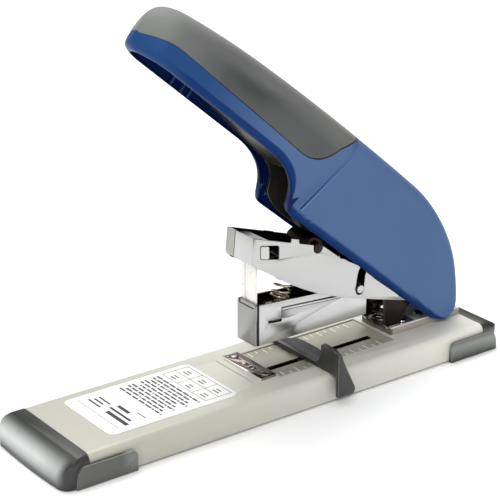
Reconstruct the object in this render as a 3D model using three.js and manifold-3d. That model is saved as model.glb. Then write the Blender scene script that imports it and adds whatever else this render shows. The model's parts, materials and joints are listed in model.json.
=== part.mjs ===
// Heavy-duty long-arm stapler, modelled as its separate pieces in the rest position (handle up).
// Millimetres. +X runs along the base from the stapling end to the hinge end, +Y to the left of that,
// +Z up. The origin is on the table under the middle of the base.

import * as THREE from 'three';
import { mergeVertices } from 'three/addons/utils/BufferGeometryUtils.js';
import Module from 'manifold-3d';

const wasm = await Module();
wasm.setup();

// ---------------------------------------------------------------- driving dimensions

const LENGTH = 300;               // overall length of the base
const CAP_HALF_WIDTH = 36.5;
const GAP = 0.15;                 // running clearance between neighbouring pieces

const BASE = {
  halfWidth: 34, top: 16.5, bottom: 0.8, wall: 1.7, shoulder: 4,
  front: -132.7, rear: 138.7,
};
const PANEL = { x0: -0.4, x1: 83, halfWidth: 18.7, depth: 0.8 };     // sunk scale panel
const SLOT = { x0: 1, x1: 75, y: -5.6, width: 4.4 };                 // guide slot of the paper stop
const BOSS = { x0: -17.4, x1: -1, halfWidth: 19.6, height: 0.8 };    // raised seat of the anvil
const FRONT_CAP = { x: -133, rail: -105.5 };
const REAR_CAP = { x: 139, rail: 112 };
const CAP_TOP = 16.7;
const RAIL_STEP = 1.5;                                               // how far the rails stand out
const FRONT_CORNER = { x: 7, y: 6, cut: 2, bow: 1, rail: 8 };        // corners of the caps in plan
const REAR_CORNER = { x: 3.5, y: 3.5, cut: 0.8, bow: 0.5, rail: 2 };
const FRONT_NOSE = { x: 16.5, z: 15.3 };                              // rounded ends in side view
const REAR_NOSE = { x: 6, z: 6 };
const RAIL_TOP = 12;

const HINGE = { x: 104, z: 50, r: 3 };           // arm and magazine swing on this pin
const HANDLE_PIVOT = { x: 88, z: 72, r: 3.5 };
const ROLLER = { x: 30.3, z: 83.2, r: 6.5, axleR: 3 };
const LINK = { x: 61, z: 51.5, r: 2.4 };         // magazine pin in the arm's slots
const HANDLE_STROKE = 30;                        // degrees, handle up to fully pressed
const ARM_RATIO = 0.657;                         // arm angle over handle angle
const MAGAZINE_RATIO = 7 / 30;                   // magazine angle over handle angle

// Half widths of the pieces that nest between the handle's walls, from the inside out.
const RAIL_HALF = 5.3;
const MAGAZINE = { inner: 7.1, outer: 8.3, front: -8.5, bottom: 33, top: 57 };
const EAR = { inner: 8.9, outer: 10.5 };
const ARM = { inner: 11.1, outer: 12.3 };
const LEVER = { inner: 12.9, outer: 14.3 };
const SHELL = { inner: 15, outer: 18, edge: 2.4 };
const HANDLE_TIP = { x: -80.5, radius: 18 };     // half-round tip in plan
const GRIP_SKIN = 2.8;
const CAVITY_INSET = 5.2;
const LEVER_INSET = 6.2;

// ---------------------------------------------------------------- materials

function material(color, roughness, metalness) {
  return new THREE.MeshStandardMaterial({ color, roughness, metalness });
}

const PAINT = () => material(0xd8d7cd, 0.45, 0.1);
const CAP_PLASTIC = () => material(0x4a4c4a, 0.45, 0);
const CHROME = () => material(0xe6e6e8, 0.12, 1);
const STEEL = () => material(0x9b9b98, 0.35, 1);
const DARK_STEEL = () => material(0x3a3936, 0.4, 0.9);
const SPRING_STEEL = () => material(0xc9bfa4, 0.3, 1);
const BLUE_PLASTIC = () => material(0x3d5f9e, 0.42, 0);
const GREY_GRIP = () => material(0x6c6e6b, 0.6, 0);
const RUBBER = () => material(0x242424, 0.85, 0);
const LABEL_FILM = () => material(0xf4f4f2, 0.4, 0);
const STOP_PLASTIC = () => material(0x45474a, 0.5, 0);
const BUSH_PLASTIC = () => material(0xe8e4d8, 0.5, 0);

// ---------------------------------------------------------------- solids

// A closed geometry as a boolean solid.
function solid(geometry) {
  const bare = geometry.clone();
  bare.deleteAttribute('normal');
  bare.deleteAttribute('uv');
  const merged = mergeVertices(bare, 1e-4);
  const index = merged.index.array;
  const triangles = [];
  for (let i = 0; i < index.length; i += 3) {
    const [a, b, c] = [index[i], index[i + 1], index[i + 2]];
    if (a !== b && b !== c && a !== c) triangles.push(a, b, c);
  }
  return new wasm.Manifold(new wasm.Mesh({
    numProp: 3,
    vertProperties: new Float32Array(merged.attributes.position.array),
    triVerts: new Uint32Array(triangles),
  }));
}

function geometryOf(manifold) {
  const mesh = manifold.getMesh();
  const geometry = new THREE.BufferGeometry();
  geometry.setAttribute('position', new THREE.BufferAttribute(new Float32Array(mesh.vertProperties), 3));
  geometry.setIndex(new THREE.BufferAttribute(new Uint32Array(mesh.triVerts), 1));
  geometry.computeVertexNormals();
  return geometry;
}

function union(...solids) {
  return solids.reduce((sum, next) => sum.add(next));
}

function outline(points) {
  return new THREE.Shape(points.map(([u, v]) => new THREE.Vector2(u, v)));
}

// The outline of a polygon with its corners rounded off over the length r.
function softened(points, r) {
  const shape = new THREE.Shape();
  points.forEach((corner, i) => {
    const towards = ([u, v]) => {
      const share = r / Math.hypot(u - corner[0], v - corner[1]);
      return [corner[0] + (u - corner[0]) * share, corner[1] + (v - corner[1]) * share];
    };
    const start = towards(points[(i + points.length - 1) % points.length]);
    if (i === 0) shape.moveTo(...start);
    else shape.lineTo(...start);
    shape.quadraticCurveTo(...corner, ...towards(points[(i + 1) % points.length]));
  });
  return shape;
}

function extrude(shape, depth, curveSegments = 6) {
  return new THREE.ExtrudeGeometry(shape, { depth, bevelEnabled: false, curveSegments });
}

// A side profile, drawn as (x, z), that runs across the stapler from y0 to y1.
function across(shape, y0, y1, curveSegments) {
  const geometry = extrude(shape, y1 - y0, curveSegments);
  geometry.rotateX(Math.PI / 2);
  geometry.translate(0, y1, 0);
  return solid(geometry);
}

// The same profile on both sides of the middle plane, from |y| = inner to |y| = outer.
function bothSides(shape, inner, outer, curveSegments) {
  return across(shape, inner, outer, curveSegments).add(across(shape, -outer, -inner, curveSegments));
}

// An end profile, drawn as (y, z), that runs along the stapler from x0 to x1.
function along(shape, x0, x1, curveSegments) {
  const geometry = extrude(shape, x1 - x0, curveSegments);
  const turn = new THREE.Matrix4().makeBasis(
    new THREE.Vector3(0, 1, 0), new THREE.Vector3(0, 0, 1), new THREE.Vector3(1, 0, 0));
  geometry.applyMatrix4(turn);
  geometry.translate(x0, 0, 0);
  return solid(geometry);
}

// A plan profile, drawn as (x, y), that rises from z0 to z1.
function upward(shape, z0, z1, curveSegments) {
  const geometry = extrude(shape, z1 - z0, curveSegments);
  geometry.translate(0, 0, z0);
  return solid(geometry);
}

function block(x0, x1, y0, y1, z0, z1) {
  const geometry = new THREE.BoxGeometry(x1 - x0, y1 - y0, z1 - z0);
  geometry.translate((x0 + x1) / 2, (y0 + y1) / 2, (z0 + z1) / 2);
  return solid(geometry);
}

function rodAcross(x, z, r, y0, y1, sides = 24) {
  const geometry = new THREE.CylinderGeometry(r, r, y1 - y0, sides);
  geometry.translate(x, (y0 + y1) / 2, z);
  return solid(geometry);
}

function rodUp(x, y, r, z0, z1, sides = 20) {
  const geometry = new THREE.CylinderGeometry(r, r, z1 - z0, sides);
  geometry.rotateX(Math.PI / 2);
  geometry.translate(x, y, (z0 + z1) / 2);
  return solid(geometry);
}

function rodAlong(y, z, r, x0, x1, sides = 16) {
  const geometry = new THREE.CylinderGeometry(r, r, x1 - x0, sides);
  geometry.rotateZ(-Math.PI / 2);
  geometry.translate((x0 + x1) / 2, y, z);
  return solid(geometry);
}

function tubeAcross(x, z, outerR, innerR, y0, y1) {
  return rodAcross(x, z, outerR, y0, y1).subtract(rodAcross(x, z, innerR, y0 - 1, y1 + 1));
}

function roundedRect(u0, u1, v0, v1, r) {
  const shape = new THREE.Shape();
  shape.moveTo(u0 + r, v0);
  shape.lineTo(u1 - r, v0);
  shape.absarc(u1 - r, v0 + r, r, -Math.PI / 2, 0);
  shape.lineTo(u1, v1 - r);
  shape.absarc(u1 - r, v1 - r, r, 0, Math.PI / 2);
  shape.lineTo(u0 + r, v1);
  shape.absarc(u0 + r, v1 - r, r, Math.PI / 2, Math.PI);
  shape.lineTo(u0, v0 + r);
  shape.absarc(u0 + r, v0 + r, r, Math.PI, 1.5 * Math.PI);
  return shape;
}

// A domed rivet or screw head that stands on z with a shank of the given length below it.
function rivet(x, y, z, headR, headHeight, shankR, shankLength) {
  const dome = [0, 1, 2, 3, 4].map((i) => {
    const angle = (i / 4) * (Math.PI / 2);
    return new THREE.Vector2(headR * Math.cos(angle), headHeight * (0.35 + 0.65 * Math.sin(angle)));
  });
  dome[4].x = 0;
  const profile = [
    new THREE.Vector2(0, -shankLength), new THREE.Vector2(shankR, -shankLength),
    new THREE.Vector2(shankR, 0), new THREE.Vector2(headR, 0), ...dome,
  ];
  const geometry = new THREE.LatheGeometry(profile, 20);
  geometry.rotateX(Math.PI / 2);
  geometry.translate(x, y, z);
  return solid(geometry);
}

class Helix extends THREE.Curve {
  constructor(start, axis, side, radius, length, turns) {
    super();
    Object.assign(this, { start, axis, side, radius, length, turns });
    this.up = new THREE.Vector3().crossVectors(axis, side);
  }

  getPoint(t) {
    const angle = 2 * Math.PI * this.turns * t;
    return this.start.clone()
      .addScaledVector(this.axis, this.length * t)
      .addScaledVector(this.side, this.radius * Math.cos(angle))
      .addScaledVector(this.up, this.radius * Math.sin(angle));
  }
}

const X = new THREE.Vector3(1, 0, 0);
const Y = new THREE.Vector3(0, 1, 0);
const Z = new THREE.Vector3(0, 0, 1);

// A coil spring whose wire fills the length from start along axis.
function coil(start, axis, side, radius, wireR, length, turns, stepsPerTurn = 10) {
  const section = new THREE.Shape();
  section.absarc(0, 0, wireR, 0, 2 * Math.PI);
  const first = start.clone().addScaledVector(axis, wireR);
  const path = new Helix(first, axis, side, radius, length - 2 * wireR, turns);
  return new THREE.ExtrudeGeometry(section, {
    steps: Math.round(turns * stepsPerTurn), curveSegments: 3, bevelEnabled: false, extrudePath: path,
  });
}

// ---------------------------------------------------------------- handle outline

const FRONT_RIM = { from: [-3, 144.6], to: [-78.6, 208.3] };
const REAR_RIM = { from: [112, 22.2], to: [12.7, 104] };
const GRIP_END = [55, 143.4];

// The handle's back as a path, from the tip's lower lip over the top to the low rear end.
function backCurve() {
  const path = new THREE.Path();
  path.moveTo(-79.6, 209.6);
  path.quadraticCurveTo(-81.2, 211.6, -79.2, 213.8);
  path.bezierCurveTo(-74.5, 219, -70.5, 228.2, -62, 228.3);
  path.quadraticCurveTo(-57.5, 228.3, -50, 221.4);
  path.bezierCurveTo(-7.6, 194.8, 60.4, 140.2, 98.4, 107.7);
  path.bezierCurveTo(113, 96, 129.5, 73, 133.5, 50);
  path.quadraticCurveTo(135.6, 40, 136.3, 31);
  path.bezierCurveTo(137, 22.5, 131.5, 18.6, 124, 18.6);
  return path.getPoints(7).map((p) => [p.x, p.y]);
}

function handleOutline() {
  const shape = new THREE.Shape();
  shape.moveTo(124, 18.6);
  shape.quadraticCurveTo(117, 18.3, ...REAR_RIM.from);
  shape.lineTo(...REAR_RIM.to);
  shape.bezierCurveTo(5.6, 109.4, 5.9, 110.8, 6.9, 113.6);
  shape.bezierCurveTo(10.8, 122, 9.6, 132.5, ...FRONT_RIM.from);
  shape.lineTo(...FRONT_RIM.to);
  backCurve().slice(0, -1).forEach(([x, z]) => shape.lineTo(x, z));
  return shape;
}

// An open line of points moved sideways; positive moves it to the right of its direction.
function moved(points, distance) {
  return points.map(([x, z], i) => {
    const [ax, az] = points[Math.max(i - 1, 0)];
    const [bx, bz] = points[Math.min(i + 1, points.length - 1)];
    const length = Math.hypot(bx - ax, bz - az);
    return [x + (distance * (bz - az)) / length, z - (distance * (bx - ax)) / length];
  });
}

// The back curve moved inwards; points that would fold over at tight corners are left out.
function backInset(distance) {
  const back = backCurve();
  const clear = ([x, z]) => back.every(([u, v]) => Math.hypot(u - x, v - z) > distance - 0.01);
  return moved(back, distance).filter(clear);
}

// Everything under the handle's back, moved in by inset and open far below the rim.
function underBack(inset, halfWidth) {
  const line = backInset(inset);
  const corners = [[line[line.length - 1][0], -20], [line[0][0], 150]];
  return across(outline([...line, ...corners]), -halfWidth, halfWidth);
}

function planOfHandle() {
  const tipCentre = HANDLE_TIP.x + HANDLE_TIP.radius;
  const rearCorner = 8;
  const shape = new THREE.Shape();
  shape.absarc(tipCentre, 0, HANDLE_TIP.radius, Math.PI / 2, 1.5 * Math.PI);
  shape.lineTo(137 - rearCorner, -SHELL.outer);
  shape.absellipse(137 - rearCorner, -SHELL.outer + 5, rearCorner, 5, -Math.PI / 2, 0);
  shape.absellipse(137 - rearCorner, SHELL.outer - 5, rearCorner, 5, 0, Math.PI / 2);
  return shape;
}

function handleEnvelope() {
  const geometry = new THREE.ExtrudeGeometry(handleOutline(), {
    depth: 2 * (SHELL.outer - SHELL.edge), curveSegments: 8,
    bevelEnabled: true, bevelThickness: SHELL.edge, bevelSize: SHELL.edge,
    bevelOffset: -SHELL.edge, bevelSegments: 3,
  });
  geometry.rotateX(Math.PI / 2);
  geometry.translate(0, SHELL.outer - SHELL.edge, 0);
  return solid(geometry).intersect(upward(planOfHandle(), 0, 250, 8));
}

// The part of the side view that the soft grip covers, moved back by gap.
function gripZone(gap) {
  const shape = new THREE.Shape();
  shape.moveTo(-100, 217.4 + gap);
  shape.lineTo(-74, 216.6 + gap);
  shape.quadraticCurveTo(-66, 213.5 + gap, -60, 208 + gap);
  shape.lineTo(12 - gap, 143.6 + gap);
  shape.bezierCurveTo(20 - gap, 136.4 + gap, 29 - gap, 134 + gap, 41 - gap, 140 + gap);
  shape.lineTo(GRIP_END[0] - gap, GRIP_END[1] + gap);
  shape.lineTo(75 - gap, 165);
  shape.lineTo(-60, 270);
  return across(shape, -30, 30, 8);
}

// ---------------------------------------------------------------- base

function baseShell() {
  const { halfWidth: w, top, bottom, wall, shoulder: r } = BASE;
  const section = new THREE.Shape();
  section.moveTo(w, bottom);
  section.lineTo(w, top - r);
  section.absarc(w - r, top - r, r, 0, Math.PI / 2);
  section.lineTo(-(w - r), top);
  section.absarc(-(w - r), top - r, r, Math.PI / 2, Math.PI);
  section.lineTo(-w, bottom);
  section.lineTo(-w + wall, bottom);
  section.lineTo(-w + wall, top - r);
  section.lineTo(-w + r, top - wall);
  section.lineTo(w - r, top - wall);
  section.lineTo(w - wall, top - r);
  section.lineTo(w - wall, bottom);
  let shell = along(section, BASE.front, BASE.rear);
  const seat = roundedRect(BOSS.x0, BOSS.x1, -BOSS.halfWidth, BOSS.halfWidth, 2);
  shell = shell.add(upward(seat, top - 0.5, top + BOSS.height));
  shell = shell.subtract(block(PANEL.x0, PANEL.x1, -PANEL.halfWidth, PANEL.halfWidth,
    top - PANEL.depth, top + 5));
  const slotHalf = SLOT.width / 2;
  shell = shell.subtract(block(SLOT.x0, SLOT.x1, SLOT.y - slotHalf, SLOT.y + slotHalf, 10, 20));
  for (const side of [-1, 1]) {
    shell = shell.subtract(rodUp(ANVIL.x, side * ANVIL.rivetY, ANVIL.shankR + GAP, 10, 20));
  }
  for (const [x, y] of FRAME_RIVETS) shell = shell.subtract(rodUp(x, y, FRAME_SHANK_R + GAP, 10, 20));
  return shell;
}

function bottomPlate() {
  const w = BASE.halfWidth - BASE.wall - 0.3;
  let plate = upward(roundedRect(-124.5, 130.5, -w, w, 4), 2, 3.2);
  for (const [x, y] of FOOT_PLACES) plate = plate.subtract(rodUp(x, y, FOOT.studR + GAP, 0, 5));
  return plate;
}

const FOOT = { r: 7, studR: 2.5 };
const FOOT_PLACES = [[-108, -22], [-108, 22], [116, -22], [116, 22]];

function foot([x, y]) {
  const pad = [[0, 0], [FOOT.r - 0.6, 0], [FOOT.r, 0.6], [FOOT.r, 1.8]];
  const stud = [[FOOT.studR, 1.8], [FOOT.studR, 4.4], [0, 4.4]];
  const profile = [...pad, ...stud];
  const geometry = new THREE.LatheGeometry(profile.map(([u, v]) => new THREE.Vector2(u, v)), 24);
  geometry.rotateX(Math.PI / 2);
  geometry.translate(x, y, 0);
  return solid(geometry);
}

// An end cap: a rounded end block, side rails that stand out along the base and a tongue inside it.
function endCap(end, blockX, railX, length, corner, nose) {
  const w = CAP_HALF_WIDTH - RAIL_STEP;
  const outer = end * (LENGTH / 2);
  const plan = new THREE.Shape();
  plan.moveTo(blockX, -w);
  plan.lineTo(blockX, w);
  plan.lineTo(outer - end * corner.x, w);
  plan.quadraticCurveTo(outer - end * corner.cut, w - 0.4, outer - end * corner.bow, w - corner.y);
  plan.quadraticCurveTo(outer + end * corner.bow, 0, outer - end * corner.bow, -(w - corner.y));
  plan.quadraticCurveTo(outer - end * corner.cut, -(w - 0.4), outer - end * corner.x, -w);
  const side = new THREE.Shape();
  side.moveTo(blockX, 0);
  side.lineTo(outer, 0);
  for (let i = 0; i <= 8; i += 1) {
    const angle = (i / 8) * (Math.PI / 2);
    side.lineTo(outer - end * nose.x * (1 - Math.cos(angle)), CAP_TOP - nose.z * (1 - Math.sin(angle)));
  }
  side.lineTo(blockX, CAP_TOP);
  const [low, high] = end < 0 ? [outer, blockX] : [blockX, outer];
  const cap = upward(plan, 0, CAP_TOP, 8)
    .intersect(across(side, -w, w, 8))
    .intersect(along(capSection(w), low - 1, high + 1, 8));
  const inside = BASE.halfWidth - BASE.wall - 0.4;
  const [tongueLow, tongueHigh] = end < 0 ? [blockX - 1, blockX + length] : [blockX - length, blockX + 1];
  const tongue = block(tongueLow, tongueHigh, -inside, inside, 1.2, 12);
  const rail = capRail(end, railX, outer - end * corner.rail);
  return union(cap, tongue, bothSides(rail, BASE.halfWidth + 0.25, CAP_HALF_WIDTH, 8));
}

function capSection(w) {
  const shoulder = 5.5;
  const section = new THREE.Shape();
  section.moveTo(-w, 0);
  section.lineTo(w, 0);
  section.lineTo(w, CAP_TOP - shoulder);
  section.quadraticCurveTo(w - 0.2, CAP_TOP - 0.4, w - shoulder, CAP_TOP);
  section.lineTo(-(w - shoulder), CAP_TOP);
  section.quadraticCurveTo(-(w - 0.2), CAP_TOP - 0.4, -w, CAP_TOP - shoulder);
  return section;
}

function capRail(end, railX, tipX) {
  const rail = new THREE.Shape();
  rail.moveTo(railX, 0);
  rail.lineTo(tipX, 0);
  rail.quadraticCurveTo(tipX, RAIL_TOP, tipX - end * 6, RAIL_TOP);
  rail.lineTo(railX + end * 4, RAIL_TOP);
  rail.quadraticCurveTo(railX, RAIL_TOP, railX, RAIL_TOP - 4);
  return rail;
}

const ANVIL = { x: -8, halfLength: 5.4, halfWidth: 18.3, rivetY: 14.5, shankR: 1.4, thickness: 1.1 };

function anvilPlate() {
  const z0 = BASE.top + BOSS.height + 0.1;
  const z1 = z0 + ANVIL.thickness;
  let plate = upward(roundedRect(ANVIL.x - ANVIL.halfLength, ANVIL.x + ANVIL.halfLength,
    -ANVIL.halfWidth, ANVIL.halfWidth, 1), z0, z1);
  for (const side of [-1, 1]) {
    plate = plate.subtract(rodUp(ANVIL.x, side * ANVIL.rivetY, ANVIL.shankR + GAP, z0 - 1, z1 + 1));
    const hollow = rodAlong(0, 0, 6, ANVIL.x - 2, ANVIL.x + 1.2, 32).translate([0, side * 3.9, z1 + 5.3]);
    plate = plate.subtract(hollow);
  }
  return plate;
}

function baseLabel() {
  return upward(roundedRect(-113.5, -32, -23.5, 25.5, 4), BASE.top + 0.05, BASE.top + 0.3);
}

const FRAME = { x0: 85, x1: 138.6, halfWidth: 13, z0: BASE.top + 0.1, sheet: 1.2, wallTop: 21 };
const FRAME_SHANK_R = 1.5;
const BRACKET = { x0: 86.4, x1: 107, sheet: 1.4 };
const FRAME_RIVETS = [[100, -4.8], [100, 4.8], [118, 0], [132, 0]];

function baseFrame() {
  const { x0, x1, halfWidth: w, z0, sheet, wallTop } = FRAME;
  let tray = block(x0, x1, -w, w, z0, wallTop);
  tray = tray.subtract(block(x0 + sheet, x1 - sheet, -w + sheet, w - sheet, z0 + sheet, wallTop + 5));
  const lipCut = block(x0 - 1, x0 + sheet + 0.5, -w + sheet, w - sheet, z0 + 2.2, wallTop + 5);
  tray = tray.subtract(lipCut);
  for (const [x, y] of FRAME_RIVETS) tray = tray.subtract(rodUp(x, y, FRAME_SHANK_R + GAP, 10, 30));
  return tray;
}

// The ears narrow towards the tray and carry both pivots.
function hingeBracket() {
  const floor = FRAME.z0 + FRAME.sheet + 0.1;
  const floorTop = floor + BRACKET.sheet;
  const ear = new THREE.Shape();
  ear.moveTo(86.4, floor);
  ear.lineTo(91.5, floor);
  ear.lineTo(109.6, 45.9);
  ear.absarc(HINGE.x, HINGE.z, 7, -0.64, 0.7);
  ear.lineTo(95.5, 79);
  ear.absarc(HANDLE_PIVOT.x, HANDLE_PIVOT.z, 9.5, 0.7, Math.PI);
  ear.lineTo(81.5, 45);
  ear.lineTo(82.2, 23.5);
  ear.lineTo(85, 19.1);
  ear.lineTo(86.4, 19.1);
  let bracket = bothSides(ear, EAR.inner, EAR.outer, 8);
  bracket = bracket.add(block(BRACKET.x0, BRACKET.x1, -EAR.outer, EAR.outer, floor, floorTop));
  bracket = bracket.subtract(rodAcross(HINGE.x, HINGE.z, HINGE.r + GAP, -20, 20));
  bracket = bracket.subtract(rodAcross(HANDLE_PIVOT.x, HANDLE_PIVOT.z, HANDLE_PIVOT.r + GAP, -20, 20));
  for (const [x, y] of FRAME_RIVETS) bracket = bracket.subtract(rodUp(x, y, FRAME_SHANK_R + GAP, 10, 30));
  return bracket;
}

function frameRivet([x, y]) {
  const onBracket = x < BRACKET.x1;
  const seat = FRAME.z0 + FRAME.sheet + (onBracket ? 0.1 + BRACKET.sheet : 0) + 0.1;
  return rivet(x, y, seat, 3, 1.4, FRAME_SHANK_R, seat - BASE.top + 1.2);
}

function hingePin() {
  const { x, z, r } = HINGE;
  return union(rodAcross(x, z, r, -13, 13.9), rodAcross(x, z, 4.8, -13.7, -12.5));
}

function hingePinClip() {
  const { x, z, r } = HINGE;
  return tubeAcross(x, z, 5.2, r + GAP, 12.55, 13.25)
    .subtract(block(x - 2, x + 2, 10, 15, z - 8, z - 1));
}

function handlePin() {
  const { x, z, r } = HANDLE_PIVOT;
  return rodAcross(x, z, r, -14.7, 14.7);
}

// ---------------------------------------------------------------- paper stop

const STOP = {
  x0: 23.5, barX1: 33, z0: 16.9, barTop: 19.4,
  outerY: 40, fenceY: 23.5, fenceTop: 32, low: 4.5,
};

function paperStop() {
  const { x0, barX1, z0, barTop, outerY, fenceY, fenceTop, low } = STOP;
  const plan = new THREE.Shape();
  plan.moveTo(x0, -outerY + 1);
  plan.lineTo(x0 + 5, -outerY + 1);
  plan.lineTo(x0 + 5, -24);
  plan.quadraticCurveTo(x0 + 5.2, -15, barX1 + 2, -12);
  plan.lineTo(barX1 + 3, -6);
  plan.lineTo(barX1 + 3, 6);
  plan.lineTo(barX1 + 2, 12);
  plan.quadraticCurveTo(x0 + 5.2, 15, x0 + 5, 24);
  plan.lineTo(x0 + 5, outerY - 1);
  plan.lineTo(x0, outerY - 1);
  let stop = upward(plan, z0, barTop, 6);
  const fence = new THREE.Shape();
  fence.moveTo(fenceY - 6, barTop - 1);
  fence.quadraticCurveTo(fenceY, barTop + 1, fenceY, barTop + 6);
  fence.lineTo(fenceY + 1, fenceTop - 1);
  fence.quadraticCurveTo(fenceY + 1.2, fenceTop, fenceY + 3, fenceTop);
  fence.lineTo(outerY - 4.5, fenceTop - 0.6);
  fence.quadraticCurveTo(outerY - 0.6, fenceTop - 1.5, outerY, fenceTop - 6);
  fence.lineTo(outerY, low);
  fence.lineTo(outerY - 5.3, low);
  fence.lineTo(outerY - 5.3, barTop - 1);
  const skirt = new THREE.Shape();
  skirt.moveTo(x0, low);
  skirt.lineTo(x0 + 10, low);
  skirt.quadraticCurveTo(x0 + 12.5, low, x0 + 12, low + 4);
  skirt.quadraticCurveTo(x0 + 7, 18, x0 + 3, 27);
  skirt.quadraticCurveTo(x0 + 2.4, fenceTop, x0, fenceTop - 1);
  for (const side of [-1, 1]) {
    const mirrored = side > 0 ? fence : outline(fence.getPoints(6).map((p) => [-p.x, p.y]).reverse());
    stop = stop.add(along(mirrored, x0, x0 + 2.4, 6));
    const y = side * outerY;
    stop = stop.add(across(skirt, Math.min(y, y - side * 2.2), Math.max(y, y - side * 2.2), 6));
  }
  stop = stop.add(block(x0 + 1, barX1 - 4, SLOT.y - 0.8, SLOT.y + 0.8, 12.9, z0 + 1));
  return stop.subtract(block(x0 - 1, barX1 + 5, -outerY + 2.2, -BASE.halfWidth - 0.6, low - 1, z0 - 0.01))
    .subtract(block(x0 - 1, barX1 + 5, BASE.halfWidth + 0.6, outerY - 2.2, low - 1, z0 - 0.01));
}

function stopSlider() {
  const slider = block(STOP.x0 + 0.5, STOP.barX1 - 3.5, SLOT.y - 6, SLOT.y + 6, 11.2, 14.4);
  return slider.subtract(block(STOP.x0, STOP.barX1, SLOT.y - 1.0, SLOT.y + 1.0, 12.6, 15));
}

// ---------------------------------------------------------------- magazine

function magazineSide() {
  const { front, bottom, top } = MAGAZINE;
  const side = new THREE.Shape();
  side.moveTo(front, bottom);
  side.lineTo(69.5, bottom - 0.4);
  side.lineTo(69.5, 43.4);
  side.lineTo(96, 42.4);
  side.absarc(HINGE.x, HINGE.z, 8.5, -1.5, 1.45);
  side.lineTo(72, 53.6);
  side.lineTo(30, 54.4);
  side.lineTo(front, top);
  return side;
}

function magazineChannel() {
  const { inner, outer, bottom } = MAGAZINE;
  let channel = bothSides(magazineSide(), inner, outer);
  channel = channel.add(block(-6.1, 69.4, -inner - 0.5, inner + 0.5, bottom, bottom + 1.2));
  channel = channel.add(block(82, 94, -inner - 0.5, inner + 0.5, 42.9, 44.1));
  for (const side of [-1, 1]) {
    const bead = rodAlong(0, 0, 1.1, 0, 42, 16).rotate([0, 3.8, 0]);
    channel = channel.add(bead.translate([8, side * outer, 51.2]));
  }
  const sideSlot = outline([[-1, 44.6], [8, 43.8], [8.4, 44.6], [8, 45.4], [-1, 46.2]]);
  channel = channel.subtract(across(sideSlot, -20, 20));
  channel = channel.subtract(rodAcross(HINGE.x, HINGE.z, HINGE.r + GAP, -20, 20));
  return channel.subtract(rodAcross(LINK.x, LINK.z, LINK.r + GAP, -20, 20));
}

function magazineFrontPlate() {
  const { outer, bottom, top } = MAGAZINE;
  const plate = along(roundedRect(-outer, outer, bottom, top + 0.3, 0.8), -9.9, -8.7);
  const cut = outline([[-6.8, top - 2.2], [6.8, top - 2.2], [6.8, top + 2], [-6.8, top + 2]]);
  return plate.subtract(along(cut, -12, -9.3));
}

function magazineCover() {
  const plate = upward(roundedRect(5, 56, -MAGAZINE.inner + 0.2, MAGAZINE.inner - 0.2, 1.5), 50.6, 51.7);
  return plate.add(rodUp(ARM_SPRING.x + 0.2, 0, 3.6, 51.5, 53));
}

function stapleRail() {
  const { bottom } = MAGAZINE;
  const z0 = bottom + 1.35;
  let rail = block(-5.9, 61.5, -RAIL_HALF, RAIL_HALF, z0, 48);
  rail = rail.subtract(block(-7, 63, -RAIL_HALF + 1, RAIL_HALF - 1, z0 - 1, 47));
  return rail.subtract(block(-1, 63, -1.2, 1.2, 46, 49));
}

const PUSHER = { x0: 3, x1: 10, rodZ: 41, rodR: 1.2, travel: 38 };
const REAR_BLOCK_X = 62;

function staplePusher() {
  const { x0, x1, rodZ, rodR } = PUSHER;
  let saddle = block(x0, x1, -MAGAZINE.inner + 0.3, MAGAZINE.inner - 0.3, 36, 50.1);
  saddle = saddle.subtract(block(x0 - 1, x1 + 1, -RAIL_HALF - 0.3, RAIL_HALF + 0.3, 30, 48.3));
  const tongue = block(x0, x1, -0.9, 0.9, 43, 49);
  const slipper = block(x0, x1, -RAIL_HALF + 1.4, RAIL_HALF - 1.4, 37, 45.5);
  return union(saddle, tongue, slipper).subtract(rodAlong(0, rodZ, rodR + GAP, x0 - 1, x1 + 1));
}

function magazineRearBlock() {
  const hole = rodAlong(0, PUSHER.rodZ, PUSHER.rodR + GAP, REAR_BLOCK_X - 1, 68);
  return block(REAR_BLOCK_X, 68.6, -MAGAZINE.inner + 0.2, MAGAZINE.inner - 0.2, 34.6, 47.5).subtract(hole);
}

const ARM_SPRING = { x: 13, z0: 53.9, length: 24, lean: 18, radius: 5.2, wireR: 0.6, turns: 6 };
const LIFT_SPRING = { x: 88, length: 22.9, radius: 4.4, wireR: 0.6, turns: 6 };

// ---------------------------------------------------------------- driver arm

function armSide() {
  const slope = Math.tan(THREE.MathUtils.degToRad(17.5));
  const topAt = (x) => 98.4 - slope * (x + 13.6);
  const notchR = ROLLER.axleR + GAP;
  const side = new THREE.Shape();
  side.moveTo(-13.6, 98.4);
  side.lineTo(-15, 85.5);
  side.quadraticCurveTo(-14.4, 81.2, -9, 79.3);
  side.lineTo(0.6, 73.2);
  side.quadraticCurveTo(21, 58.8, 46.7, 49.9);
  side.lineTo(70.6, 42.8);
  side.lineTo(98, 35.2);
  side.quadraticCurveTo(117, 33, 117.5, 47);
  side.quadraticCurveTo(117.5, 62, 103, 62.4);
  side.lineTo(88, 63.4);
  side.lineTo(62, 68.5);
  side.lineTo(47, 73);
  side.lineTo(ROLLER.x + notchR + 0.4, 83.6);
  side.lineTo(ROLLER.x + notchR, ROLLER.z);
  side.absarc(ROLLER.x, ROLLER.z, notchR, 0, Math.PI, true);
  side.lineTo(ROLLER.x - notchR, topAt(ROLLER.x - notchR) - 0.6);
  side.lineTo(ROLLER.x - notchR - 0.6, topAt(ROLLER.x - notchR - 0.6));
  side.lineTo(17, topAt(17));
  side.lineTo(16.6, topAt(16.6) + 2.4);
  side.lineTo(11.6, topAt(11.6) + 2.4);
  side.lineTo(11.2, topAt(11.2));
  return side;
}

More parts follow.
